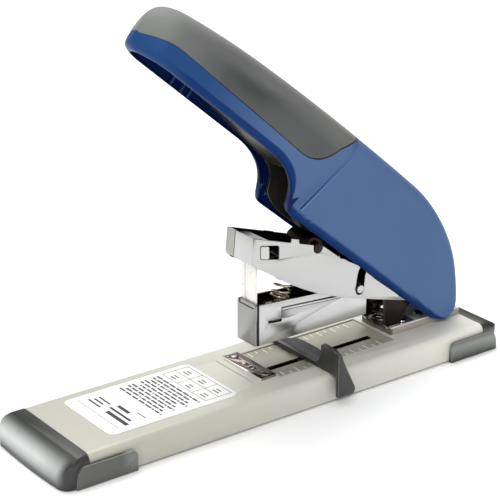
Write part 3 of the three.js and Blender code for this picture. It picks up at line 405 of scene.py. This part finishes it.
    m["blue_plastic"] = (Finish("shell_blue", linear(78, 104, 145), 0.36)
                         .mottle(0.05, 14).toward(linear(34, 71, 122), (-0.77, 0, 0.64), 95, 160)
                         # Painted shade: darker on the rolled rim and inside the hollow; the seam mark is
                         # the dark joint line.
                         .marked("rim", linear(8, 48, 102)).marked("hollow", linear(8, 30, 78))
                         .marked("seam", linear(12, 20, 36))
                         # Along the crease, a painted dark line of shade and a painted highlight line
                         # beside it.
                         .stroke(linear(10, 36, 84), CREASE[0], CREASE[1], 0.5, 0.35)
                         .stroke(linear(92, 128, 182), CREASE[0], CREASE[1], -0.5, 0.3)
                         .uneven(0.05, 50).grain(1300, 0.012).grain(60, 0.03)
                         .done(Specular_IOR_Level=0.08))
    m["grey_grip"] = (Finish("grip_soft_grey", linear(70, 71, 72), 0.6)
                      # Painted light: lighter toward the top and toward the tip.
                      .mottle(0.05, 30).toward(linear(99, 101, 98), (0.636, 0, 0.7717), 131, 142)
                      .toward(linear(112, 114, 111), (-0.7717, 0, 0.636), 150, 200)
                      # Painted shade in the valley.
                      .marked("valley", linear(44, 46, 46))
                      .uneven(0.08, 70).grain(1700, 0.06).grain(90, 0.03)
                      .done(Sheen_Weight=0.15, Sheen_Roughness=0.5))
    m["rib_blue"] = (Finish("rib_blue", linear(24, 66, 138), 0.4)
                     .mottle(0.05, 40).uneven(0.05, 50).grain(1300, 0.012).done())
    m["roller_steel"] = (Finish("roller_steel", linear(38, 30, 26), 0.3, 0.8)
                         .mottle(0.2, 90).uneven(0.08, 90).grain(1400, 0.01).done())
    # Near white: a painted reflection on the blade steel; darker along its edges.
    m["blade_steel"] = (Finish("blade_steel", linear(244, 243, 238), 0.3, 0.3)
                        .mottle(0.05, 90).uneven(0.08, 90).grain(1400, 0.008, stretch=(1, 1, 0.05))
                        .edges(linear(120, 108, 90), 0.3, 0.9).done())
    # Near white: a painted reflection on the chrome tray, with the near wall brown-grey, the front edge
    # darker and darker edges.
    m["tray_chrome"] = (Finish("tray_chrome", linear(244, 244, 242), 0.3, 0.0)
                        .mottle(0.03, 40).uneven(0.05, 70).grain(900, 0.004)
                        .zone(linear(172, 164, 156), ((0, -1, 0), 12.7, 12.8))
                        .zone(linear(112, 104, 98), ((-1, 0, 0), -86.3, -86.2))
                        .zone(linear(236, 232, 226), ((0, 0, 1), 20.5, 20.6))
                        .edges(linear(90, 80, 74), 0.4, 0.8).done())
    m["bush_plastic"] = (Finish("bush_plastic", linear(226, 222, 208), 0.5)
                         .mottle(0.05, 120).uneven(0.08, 90).grain(1500, 0.02).done())
    m["scale_ink"] = (Finish("scale_ink", linear(250, 250, 244), 0.45)
                      .mottle(0.05, 200).uneven(0.05, 90).grain(900, 0.004).done())
    return m


# ---------------------------------------------------------------- CAD nodes

def smoothing_group(angle_degrees):
    """Geometry nodes that drop stored normals and shade smooth except across sharp edges."""
    group = bpy.data.node_groups.new("smooth_by_angle", "GeometryNodeTree")
    group.interface.new_socket("Geometry", in_out="INPUT", socket_type="NodeSocketGeometry")
    group.interface.new_socket("Geometry", in_out="OUTPUT", socket_type="NodeSocketGeometry")
    nodes, links = group.nodes, group.links
    start = nodes.new("NodeGroupInput")
    end = nodes.new("NodeGroupOutput")
    drop = nodes.new("GeometryNodeRemoveAttribute")
    drop.inputs["Name"].default_value = "custom_normal"
    faces = nodes.new("GeometryNodeSetShadeSmooth")
    faces.domain = "FACE"
    faces.inputs["Shade Smooth"].default_value = True
    edges = nodes.new("GeometryNodeSetShadeSmooth")
    edges.domain = "EDGE"
    edges.inputs["Shade Smooth"].default_value = False
    angle = nodes.new("GeometryNodeInputMeshEdgeAngle")
    compare = nodes.new("FunctionNodeCompare")
    compare.data_type = "FLOAT"
    compare.operation = "GREATER_THAN"
    compare.inputs["B"].default_value = math.radians(angle_degrees)
    links.new(start.outputs[0], drop.inputs["Geometry"])
    links.new(drop.outputs["Geometry"], faces.inputs["Geometry"])
    links.new(faces.outputs["Geometry"], edges.inputs["Geometry"])
    links.new(angle.outputs["Unsigned Angle"], compare.inputs["A"])
    links.new(compare.outputs["Result"], edges.inputs["Selection"])
    links.new(edges.outputs["Geometry"], end.inputs[0])
    return group


def finish_node(name, material, smoothing, bevel=0.25):
    """Gives a CAD node its material and, by modifiers, slightly rounded edges."""
    node = NODES[name]
    node.data.materials.clear()
    node.data.materials.append(material)
    weld = node.modifiers.new("weld", "WELD")
    weld.merge_threshold = 0.002 * MM
    if bevel:
        rounded = node.modifiers.new("rounded", "BEVEL")
        rounded.width = bevel * MM
        rounded.segments = 2
        rounded.limit_method = "ANGLE"
        rounded.angle_limit = math.radians(35)
        rounded.use_clamp_overlap = True
        rounded.miter_outer = "MITER_ARC"
    smooth = node.modifiers.new("smooth", "NODES")
    smooth.node_group = smoothing


# ---------------------------------------------------------------- new pieces

def new_piece(name, verts, faces, material, body, replaced=()):
    mesh = bpy.data.meshes.new(name)
    mesh.from_pydata([tuple(v) for v in verts], [], faces)
    mesh.validate()
    piece = bpy.data.objects.new(name, mesh)
    bpy.context.scene.collection.objects.link(piece)
    mesh.materials.append(material)
    for polygon in mesh.polygons:
        polygon.use_smooth = True
    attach(piece, body)
    if replaced:
        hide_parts(*replaced)
    return piece


def clean(piece, distance=0.01):
    """Merges doubled points, drops slivers and turns the faces outwards."""
    bm = bmesh.new()
    bm.from_mesh(piece.data)
    bmesh.ops.remove_doubles(bm, verts=bm.verts, dist=distance * MM)
    bmesh.ops.dissolve_degenerate(bm, edges=bm.edges, dist=0.001 * MM)
    bmesh.ops.recalc_face_normals(bm, faces=bm.faces)
    bm.to_mesh(piece.data)
    bm.free()


def closed_grid(rows):
    """Faces of a grid of points that closes on itself both ways; rows is (stations, ring, 3)."""
    stations, ring = rows.shape[:2]
    faces = []
    for i in range(stations - 1):
        for j in range(ring):
            k = (j + 1) % ring
            faces.append((i * ring + j, i * ring + k, (i + 1) * ring + k, (i + 1) * ring + j))
    faces.append(tuple(range(ring))[::-1])
    last = (stations - 1) * ring
    faces.append(tuple(range(last, last + ring)))
    return faces


# Corners 0 to 3 of a box go round its bottom and 4 to 7 round its top; the faces look outwards.
BOX_FACES = ((3, 2, 1, 0), (4, 5, 6, 7), (0, 1, 5, 4), (1, 2, 6, 5), (2, 3, 7, 6), (3, 0, 4, 7))


# ---------------------------------------------------------------- handle surface

# Outline points and curves of the handle's side view, in millimetres, as in the CAD part.
HALF_WIDTH = 18.0
WALL = 3.0
TOP_WALL = 4.8
GRIP_SKIN = 2.6
RIM_ROUND = 3.6                            # radius of the rolled rim
INNER_SHRINK = 3.5                         # how much smaller the crown is on the inside
VALLEY_DEPTH = 2.4
REAR_ROUND = 5.0                           # how far the rear corners draw in, behind REAR_X
REAR_X, REAR_REACH = 129, 8.6
UPPER, LOWER, INNER = 14, 44, 30           # points down a half section: under the grip, below it, inside
GRIP_POINTS = 40
SPINE = np.array((0.7717, -0.6360))        # along the handle, tip to hinge
RISE = np.array((0.6360, 0.7717))          # from the rim to the back


def bezier(*points, count=24):
    """Points on a Bezier curve of any degree, without its first point."""
    t = np.linspace(0, 1, count + 1)[1:, None]
    level = [np.array(p, float)[None, :].repeat(count, 0) for p in points]
    while len(level) > 1:
        level = [a * (1 - t) + b * t for a, b in zip(level, level[1:])]
    return level[0]


def path(start, *segments):
    """A polyline through Bezier segments, each given by its further control points."""
    points = [np.array([start], float)]
    for segment in segments:
        here = tuple(points[-1][-1])
        count = 1 if len(segment) == 1 else 40
        points.append(bezier(here, *segment, count=count))
    return np.vstack(points)


def resample(line, spacing):
    """The same polyline with points about this far apart."""
    lengths = np.concatenate(([0], np.cumsum(np.linalg.norm(np.diff(line, axis=0), axis=1))))
    count = max(2, int(round(lengths[-1] / spacing)) + 1)
    at = np.linspace(0, lengths[-1], count)
    return np.column_stack([np.interp(at, lengths, line[:, k]) for k in range(line.shape[1])])


def smooth_line(line, passes):
    for _ in range(passes):
        line[1:-1] = (line[:-2] + 2 * line[1:-1] + line[2:]) / 4
    return line


BACK = smooth_line(resample(path(
    (-79.6, 209.6),
    ((-80.9, 211.4), (-79.6, 214.4)),
    ((-76.6, 221.6), (-69.5, 227.9), (-61.5, 227.9)),
    ((-55.5, 227.9), (-50.5, 223.9), (-44.8, 220.3)),
    ((-7.6, 196.2), (60.4, 140.8), (98.4, 107.7)),
    ((113, 96), (129.5, 73), (133.5, 50)),
    ((135.6, 40), (136.3, 31)),
    ((137, 22.5), (131.5, 18.6), (124, 18.6)),
), 0.4), 40)
RIM = smooth_line(resample(path(
    (-79.6, 209.6),
    ((-78.6, 208.3),),
    ((-3, 144.6),),
    ((9.6, 132.5), (10.8, 122), (6.9, 113.6)),
    ((5.9, 110.8), (5.6, 109.4), (12.7, 104)),
    ((112, 22.2),),
    ((117, 18.3), (124, 18.6)),
), 0.4), 30)
GRIP_EDGE = resample(path(
    (-100, 219.5),
    ((-78, 218.2),),
    ((-69.5, 216.6), (-60, 207.8)),
    ((12, 143.6),),
    ((20, 136.4), (29, 134), (41, 140)),
    ((55, 143.4),),
    ((75, 148),),
), 0.5)
CREASE = np.array(((13.0, 110.5), (50.0, 134.2)))


def arc_lengths(line):
    return np.concatenate(([0], np.cumsum(np.linalg.norm(np.diff(line, axis=0), axis=1))))


def at_length(line, lengths, s):
    return np.column_stack([np.interp(s, lengths, line[:, k]) for k in range(2)])


def at_spine(line, u, start, end):
    """The points of a line, between two indices, at these distances along the spine."""
    part = line[start:end + 1]
    along = part @ SPINE
    return np.column_stack([np.interp(u, along, part[:, k]) for k in range(2)])


def nearest(line, point):
    return int(np.argmin(np.linalg.norm(line - np.array(point), axis=1)))


def paired_stations():
    """Matching points on the rim and on the back, from the tip round to the low rear end."""
    rim_a, back_a = nearest(RIM, (-60.0, 192.6)), nearest(BACK, (-40.9, 215.6))
    rim_b, back_b = nearest(RIM, (90.0, 40.3)), nearest(BACK, (122.4, 79.7))
    u_a = (RIM[rim_a] @ SPINE + BACK[back_a] @ SPINE) / 2
    u_b = (RIM[rim_b] @ SPINE + BACK[back_b] @ SPINE) / 2
    rim_s, back_s = arc_lengths(RIM), arc_lengths(BACK)

    tip = np.linspace(0, 1, 75)[:-1]
    rear = np.linspace(0, 1, 70)[1:]
    u = np.linspace(u_a, u_b, 150)
    rim_mid, back_mid = at_spine(RIM, u, 0, len(RIM) - 1), at_spine(BACK, u, back_a - 8, back_b + 8)
    rim = np.vstack((
        at_length(RIM, rim_s, tip * rim_s[rim_a]), rim_mid,
        at_length(RIM, rim_s, rim_s[rim_b] + rear * (rim_s[-1] - rim_s[rim_b])),
    ))
    back = np.vstack((
        at_length(BACK, back_s, tip * back_s[back_a]), back_mid,
        at_length(BACK, back_s, back_s[back_b] + rear * (back_s[-1] - back_s[back_b])),
    ))
    return smooth_line(rim, 2), smooth_line(back, 4)


FOREMOST = int(np.argmin(BACK[:len(BACK) // 4] @ SPINE))
FRONT_LINE = BACK[:FOREMOST + 1]


def half_width(points, inset=0.0):
    """Half the handle's width: a half-round tip square to the rim and slightly rounded rear corners."""
    w = HALF_WIDTH - inset
    front = np.interp(points @ RISE, FRONT_LINE @ RISE, FRONT_LINE @ SPINE)
    behind = points @ SPINE - front - inset
    width = np.sqrt(np.clip(w ** 2 - np.clip(w - behind, 0, None) ** 2, 0.02, None))
    x = points[:, 0]
    rear = x > REAR_X
    turn = np.sqrt(np.maximum(0, 1 - ((x[rear] - REAR_X) / REAR_REACH) ** 2))
    width[rear] = w - REAR_ROUND + REAR_ROUND * turn
    return width


def crown_of(back):
    """The crown's radius and squareness: a round dome at the tip that gets flatter behind it."""
    share = np.clip((back[0] + 72) / 62, 0, 1)
    share = share * share * (3 - 2 * share)
    return 16.5 * (1 - share) + 8.5 * share, 2.15 * (1 - share) + 2.9 * share


def section(rim, back, shrink=0.0, count=400):
    """One half section from the top centre down to the rim: distances down it, and y share."""
    crown, power = crown_of(back)
    crown -= shrink
    height = np.linalg.norm(back - rim)
    radius = min(crown, height * 0.9)
    phi = np.linspace(0, math.pi / 2, 60)
    t = radius * (1 - np.cos(phi) ** (2 / power))
    share = np.sin(phi) ** (2 / power)
    if height > radius:
        t = np.append(t, np.linspace(radius, height, count)[1:])
        share = np.append(share, np.ones(count - 1))
    return t, share, height


def relief(points):
    """How far the near or far wall stands in (negative) from the plain side, by side-view place."""
    direction = CREASE[1] - CREASE[0]
    length = np.linalg.norm(direction)
    direction = direction / length
    normal = np.array((-direction[1], direction[0]))
    offset = points - CREASE[0]
    along = (offset @ direction) / length
    across = offset @ normal
    depth = 3.4 * np.clip(1 - along, 0, 1.15) ** 1.1
    depth[along > 1] = 0
    width = 0.5 + 4.6 * np.clip(1 - along, 0, 1)
    step = np.clip(across / width, 0, 1)
    step = step * step * (3 - 2 * step)
    fade = np.exp(-np.maximum(across - width, 0) / 20)
    return -depth * step * fade


def grip_relief(points):
    """The soft valley along the grip's side, below its rolled top edge."""
    along = points @ SPINE
    rise = np.clip((along + 135) / 34, 0, 1)
    above = points @ RISE - (130.3 + 6.0 * rise ** 1.5)
    reach = np.where(above > 0, 3.2, 7.5)
    return -VALLEY_DEPTH * np.exp(-((along + 130) / 26) ** 2) * np.exp(-(above / reach) ** 2)


def wall_points(rim, back, t_values, share, inset, edge_round, detail):
    """3-D points of the near half of a section, in millimetres."""
    height = np.linalg.norm(back - rim)
    direction = (rim - back) / max(height, 1e-6)
    flat = back[None, :] + np.outer(t_values, direction)
    y = half_width(flat, inset) * share
    if detail:
        y = y + (relief(flat) + grip_relief(flat)) * np.clip(share, 0, 1) ** 4
    if edge_round:
        left = height - t_values
        low = left < edge_round
        drop = edge_round - np.sqrt(np.maximum(0, edge_round ** 2 - (edge_round - left[low]) ** 2))
        y[low] -= np.minimum(drop, y[low] * 0.5)
    return np.column_stack((flat[:, 0], -y, flat[:, 1]))


def cut_down(points, t, start, end, count):
    """Points evenly spaced by length along a section between two distances down it."""
    fine = np.linspace(start, end, 160) if end > start else np.array((start, start))
    columns = np.column_stack([np.interp(fine, t, points[:, k]) for k in range(3)])
    lengths = np.concatenate(([0], np.cumsum(np.linalg.norm(np.diff(columns, axis=0), axis=1))))
    if lengths[-1] < 1e-9:
        return columns[:1].repeat(count, 0)
    at = np.linspace(0, lengths[-1], count)
    return np.column_stack([np.interp(at, lengths, columns[:, k]) for k in range(3)])


def grip_depth(rim, back):
    """How far down a section the soft grip reaches, or 0 where there is none."""
    height = np.linalg.norm(back - rim)
    steps = np.linspace(0, height, 300)
    line = back + np.outer(steps / max(height, 1e-6), rim - back)
    edge_z = np.interp(line[:, 0], GRIP_EDGE[:, 0], GRIP_EDGE[:, 1])
    if line[0, 0] > GRIP_EDGE[-1, 0]:
        return 0.0
    inside = line[:, 1] > edge_z
    if not inside[0]:
        return 0.0
    outside = np.nonzero(~inside)[0]
    return float(steps[outside[0]]) if len(outside) else float(height)


def inner_curves(rim, back):
    """The same stations on the inside: back moved in, rim shortened at both ends."""
    tangent = np.gradient(back, axis=0)
    tangent /= np.maximum(np.linalg.norm(tangent, axis=1), 1e-9)[:, None]
    inward = np.column_stack((tangent[:, 1], -tangent[:, 0]))
    moved = back + inward * TOP_WALL
    toward = rim - moved
    moved = np.where((np.linalg.norm(toward, axis=1) < 0.5)[:, None], rim, moved)
    moved = smooth_line(moved, 12)
    lengths = arc_lengths(rim)
    end = lengths[-1]
    keep = np.interp(lengths, (0, 30, end - 12, end), (3.4, 30, end - 12, end - 2.4))
    rim_in = at_length(rim, lengths, keep)
    moved[:, 0] = np.clip(moved[:, 0], -76.8, 132.4)
    return rim_in, moved


def mirrored(half):
    """A full section from near rim over the top to far rim, from its near half."""
    far = half[1:] * np.array((1, -1, 1))
    return np.vstack((half[::-1], far))


def handle_shell_rows():
    """The shell's rings, with marks for the inside of the hollow and for the rolled rim, which the material
    darkens as painted shade.
    """
    rim, back = paired_stations()
    rim_in, back_in = inner_curves(rim, back)
    rings, hollow, edge, seam = [], [], [], []
    for i in range(len(rim)):
        t, share, height = section(rim[i], back[i])
        outer = wall_points(rim[i], back[i], t, share, 0, RIM_ROUND, True)
        depth = min(grip_depth(rim[i], back[i]), height)
        core = wall_points(rim[i], back[i], t, share, GRIP_SKIN * 0.7, 0, True)
        pull = back_in[i] - back[i]
        pull = pull / max(np.linalg.norm(pull), 1e-6) * GRIP_SKIN
        core[:, 0] += pull[0]
        core[:, 2] += pull[1]
        if depth > 0.4:
            upper = cut_down(core, t, 0, depth, UPPER)
        else:
            depth = 0.0
            upper = outer[:1].repeat(UPPER, 0)
        lower = cut_down(outer, t, max(0.0, depth - 0.7), height, LOWER)
        t_in, share_in, height_in = section(rim_in[i], back_in[i], INNER_SHRINK)
        inner = wall_points(rim_in[i], back_in[i], t_in, share_in, WALL, 0, False)
        inner = cut_down(inner, t_in, 0, height_in, INNER)
        half = np.vstack((upper, lower))
        left = np.linalg.norm(half[:, (0, 2)] - rim[i], axis=1)
        # The rolled rim's band, which the material darkens as painted shade.
        band = np.clip((4.2 - left) / 0.7, 0, 1) * np.clip((half[:, 0] + 76) / 20, 0, 1)
        outside = mirrored(half)
        inside = mirrored(inner)[::-1]
        rings.append(np.vstack((outside, inside)))
        hollow.append(np.repeat((0.0, 1.0), (len(outside), len(inside))))
        edge.append(np.concatenate((band[::-1], band[1:], np.zeros(len(inside)))))
        line = np.zeros(len(half))
        line[UPPER:UPPER + 2] = 1.0 if depth > 0.4 else 0.0
        seam.append(np.concatenate((line[::-1], line[1:], np.zeros(len(inside)))))
    marks = [np.array(values, np.float32) for values in (hollow, edge, seam)]
    return np.array(rings) * MM, dict(zip(("hollow", "rim", "seam"), marks))


def grip_rows():
    """The soft grip's rings: a skin just proud of the shell, closed by its underside."""
    rim, back = paired_stations()
    rim_in, back_in = inner_curves(rim, back)
    rings = []
    for i in range(len(rim)):
        depth = grip_depth(rim[i], back[i])
        if depth < 0.5:
            continue
        t, share, height = section(rim[i], back[i])
        skin = wall_points(rim[i], back[i], t, share, -0.12, 0, True)
        under = wall_points(rim[i], back[i], t, share, GRIP_SKIN * 0.62, 0, True)
        pull = back_in[i] - back[i]
        pull = pull / max(np.linalg.norm(pull), 1e-6)
        skin[:, 0] -= pull[0] * 0.05
        skin[:, 2] -= pull[1] * 0.05
        under[:, 0] += pull[0] * (GRIP_SKIN - 0.2)
        under[:, 2] += pull[1] * (GRIP_SKIN - 0.2)
        outside = cut_down(skin, t, 0, min(depth, height), GRIP_POINTS)
        inside = cut_down(under, t, 0, min(depth, height), GRIP_POINTS)
        outside[-1] = outside[-1] * 0.75 + inside[-1] * 0.25
        rings.append(np.vstack((mirrored(outside), mirrored(inside)[::-1])))
    return np.array(rings) * MM


def make_handle(m):
    rows, marks = handle_shell_rows()
    shell = new_piece("handle_shell_moulding", rows.reshape(-1, 3), closed_grid(rows),
                      m["blue_plastic"], "handle", ("handle_shell",))
    for label, values in marks.items():
        shell.data.attributes.new(label, "FLOAT", "POINT").data.foreach_set("value", values.ravel())
    clean(shell)
    rows = grip_rows()
    grip = new_piece("handle_grip_overmould", rows.reshape(-1, 3), closed_grid(rows),
                     m["grey_grip"], "handle", ("handle_grip",))
    # The valley mark, which the grip material darkens as painted shade.
    sides = rows.reshape(-1, 3)[:, (0, 2)] / MM
    valley = (np.clip(-grip_relief(sides) / VALLEY_DEPTH, 0, 1) ** 1.5).astype(np.float32)
    grip.data.attributes.new("valley", "FLOAT", "POINT").data.foreach_set("value", valley)
    clean(grip)


def make_ribs(m):
    """Three short ribs on each inner wall of the hollow, square to the rim."""
    bm = bmesh.new()
    along, up = np.array((-0.765, 0.644)), np.array((0.644, 0.765))
    for distance in (45.5, 51.0, 59.0):
        foot = np.array((-3.0, 144.6)) + along * distance
        corners = [foot + along * a + up * b for a, b in ((0, 0.8), (1.2, 0.8), (1.2, 7.5), (0, 7.5))]
        for side in (-1, 1):
            verts = [bm.verts.new(Vector((x, side * y, z)) * MM) for y in (13.4, 15.3) for x, z in corners]
            for face in BOX_FACES:
                bm.faces.new([verts[k] for k in face])
    bmesh.ops.recalc_face_normals(bm, faces=bm.faces)
    mesh = bpy.data.meshes.new("shell_ribs")
    bm.to_mesh(mesh)
    bm.free()
    ribs = bpy.data.objects.new("shell_ribs", mesh)
    bpy.context.scene.collection.objects.link(ribs)
    mesh.materials.append(m["rib_blue"])
    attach(ribs, "handle")


# ---------------------------------------------------------------- springs

def coil_points(start, axis, side, radius, length, turns, closed_turns=0.9, per_turn=28):
    """A compression spring's centre line, with its end turns lying flat."""
    axis, side = Vector(axis), Vector(side)
    up = axis.cross(side)
    count = int(turns * per_turn)
    free = max(turns - 2 * closed_turns, 0.1)
    flat = 0.06 * length
    points = []
    for i in range(count + 1):
        turn = turns * i / count
        middle = max(0.0, min(turn, turns - closed_turns) - closed_turns)
        if turn <= closed_turns:
            height = flat * turn / closed_turns * 0.5
        elif turn >= turns - closed_turns:
            height = length - flat * (turns - turn) / closed_turns * 0.5
        else:
            height = flat * 0.5 + (length - flat) * middle / free
        angle = 2 * math.pi * turn
        points.append(Vector(start) + axis * height + side * (radius * math.cos(angle))
                      + up * (radius * math.sin(angle)))
    return points


def tube(name, points, wire_radius, material, body, replaced=(), sides=10):
    """A round wire along points, with flat ends, as a closed mesh."""
    rings = []
    normal = None
    for i, point in enumerate(points):
        ahead = points[min(i + 1, len(points) - 1)] - points[max(i - 1, 0)]
        ahead.normalize()
        if normal is None:
            normal = ahead.orthogonal()
        normal = (normal - ahead * normal.dot(ahead)).normalized()
        other = ahead.cross(normal)
        ring = []
        for k in range(sides):
            angle = 2 * math.pi * k / sides
            ring.append(point + (normal * math.cos(angle) + other * math.sin(angle)) * wire_radius)
        rings.append([tuple(p) for p in ring])
    rows = np.array(rings) * MM
    piece = new_piece(name, rows.reshape(-1, 3), closed_grid(rows), material, body, replaced)
    clean(piece, 0.001)
    return piece


def make_springs(m):
    wire = m["spring_steel"]
    lean = math.radians(18)
    up, side = (math.sin(lean), 0, math.cos(lean)), (math.cos(lean), 0, -math.sin(lean))
    arm = tube("arm_spring_coil", coil_points((13.1, 0, 54.7), up, side, 5.0, 22.4, 7.5),
               0.62, wire, "magazine", ("arm_return_spring",))
    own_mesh(arm)
    lift = tube("lift_spring_coil", coil_points((88, 0, 20.2), (0, 0, 1), (1, 0, 0), 4.5, 21.8, 6.5),
                0.6, m["lift_wire"], "base", ("magazine_lift_spring",))
    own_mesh(lift)
    push = tube("pusher_spring_coil", coil_points((10.6, 0, 41), (1, 0, 0), (0, 0, 1), 2.2, 50.8, 22),
                0.36, wire, "magazine", ("pusher_spring",), sides=8)
    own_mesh(push)
    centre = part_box("handle_pin")
    x, z = [(centre[0][k] + centre[1][k]) / 2 / MM for k in (0, 2)]
    tube("handle_spring_coil", coil_points((x, -7.3, z), (0, 1, 0), (1, 0, 0), 5.5, 14.6, 8.5, 0.2),
         0.75, wire, "handle", ("handle_spring",))


# ---------------------------------------------------------------- marks on the base

def flat_bar(bm, x0, x1, y0, y1, z0, z1):
    corners = [(x, y, z) for z in (z0, z1) for x, y in ((x0, y0), (x1, y0), (x1, y1), (x0, y1))]
    v = [bm.verts.new(Vector(c) * MM) for c in corners]
    for face in BOX_FACES:
        bm.faces.new([v[k] for k in face])


def marks_piece(name, bars, material):
    bm = bmesh.new()
    for bar in bars:
        flat_bar(bm, *bar)
    mesh = bpy.data.meshes.new(name)
    bm.to_mesh(mesh)
    bm.free()
    piece = bpy.data.objects.new(name, mesh)
    bpy.context.scene.collection.objects.link(piece)
    mesh.materials.append(material)
    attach(piece, "base")
    return piece


def make_marks(m):
    """Scale ticks in the sunk panel and plain printing on the label: bars in place of words."""
    z = 15.7
    ticks = []
    for i in range(15):
        x = 4 + i * 5
        long = i % 2 == 0
        for side in (-1, 1):
            inner, outer = (12.2, 17.6) if long else (14.6, 17.6)
            y0, y1 = sorted((side * inner, side * outer))
            ticks.append((x - 0.3, x + 0.3, y0, y1, z - 0.02, z + 0.05))
    marks_piece("scale_ticks", ticks, m["scale_ink"])

    low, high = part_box("base_label")
    x0, y0, top = low[0] / MM, low[1] / MM, high[2] / MM
    bars = []

    def bar(u0, u1, v0, v1):
        bars.append((x0 + u0, x0 + u1, y0 + v0, y0 + v1, top - 0.02, top + 0.03))

    for row in range(10):
        u, v = 33.5 + row * 2.7, 4.5 + 3 * (row % 3)
        while v < 42:
            length = 3.4 + 2.2 * math.sin(row * 2.1 + v)
            bar(u, u + 1.25, v, min(v + length, 45))
            v += length + 0.9
    for u in (62, 70.5, 79):
        bar(u, u + 0.35, 4, 45.3)
    for v in (4, 17, 31, 45):
        bar(62, 79.3, v, v + 0.35)
    for u in (64.2, 72.8):
        for v in (7.5, 21.5, 35.5):
            bar(u, u + 0.8, v, v + 5.5)
            bar(u + 2.2, u + 3.0, v + 0.8, v + 5.0)
    bar(7.5, 7.85, 4, 45)
    for u, width, v, length in ((12, 2.6, 5, 20), (16.4, 1.6, 8, 20), (20.4, 2.2, 16, 11), (25, 0.7, 6, 8),
                                (12.5, 1.2, 31, 12), (15.5, 1.2, 33, 9), (18.5, 1.2, 31, 11)):
        bar(u, u + width, v, v + length)
    marks_piece("label_print", bars, m["label_ink"])


# ---------------------------------------------------------------- the scene

SLOT_OF = {row["node"]: row["material_slot"] for row in frame["record"]["subparts"]}
REPLACED = {"handle_shell", "handle_grip", "arm_return_spring", "magazine_lift_spring",
            "pusher_spring", "handle_spring"}
THIN = {"base_label": 0.05, "driver_blade": 0.1, "hinge_pin_clip": 0.12, "anvil_plate": 0.2,
        "front_cap": 1.1, "rear_cap": 1.1}
OWN_FINISH = {"driver_arm": "chrome_arm", "magazine_channel": "chrome_magazine",
              "magazine_front_plate": "chrome_front", "hinge_bracket": "chrome_bracket",
              "base_frame": "tray_chrome", "driver_blade": "blade_steel", "roller_axle": "roller_steel",
              "press_roller": "roller_steel", "base_shell": "paint_slotted"}

make_camera()
make_studio()
materials = make_materials()
smoothing = smoothing_group(32)
for name in NODES:
    if name not in REPLACED:
        finish = materials[OWN_FINISH.get(name, SLOT_OF[name])]
        finish_node(name, finish, smoothing, THIN.get(name, 0.28))
make_handle(materials)
make_ribs(materials)
make_springs(materials)
make_marks(materials)
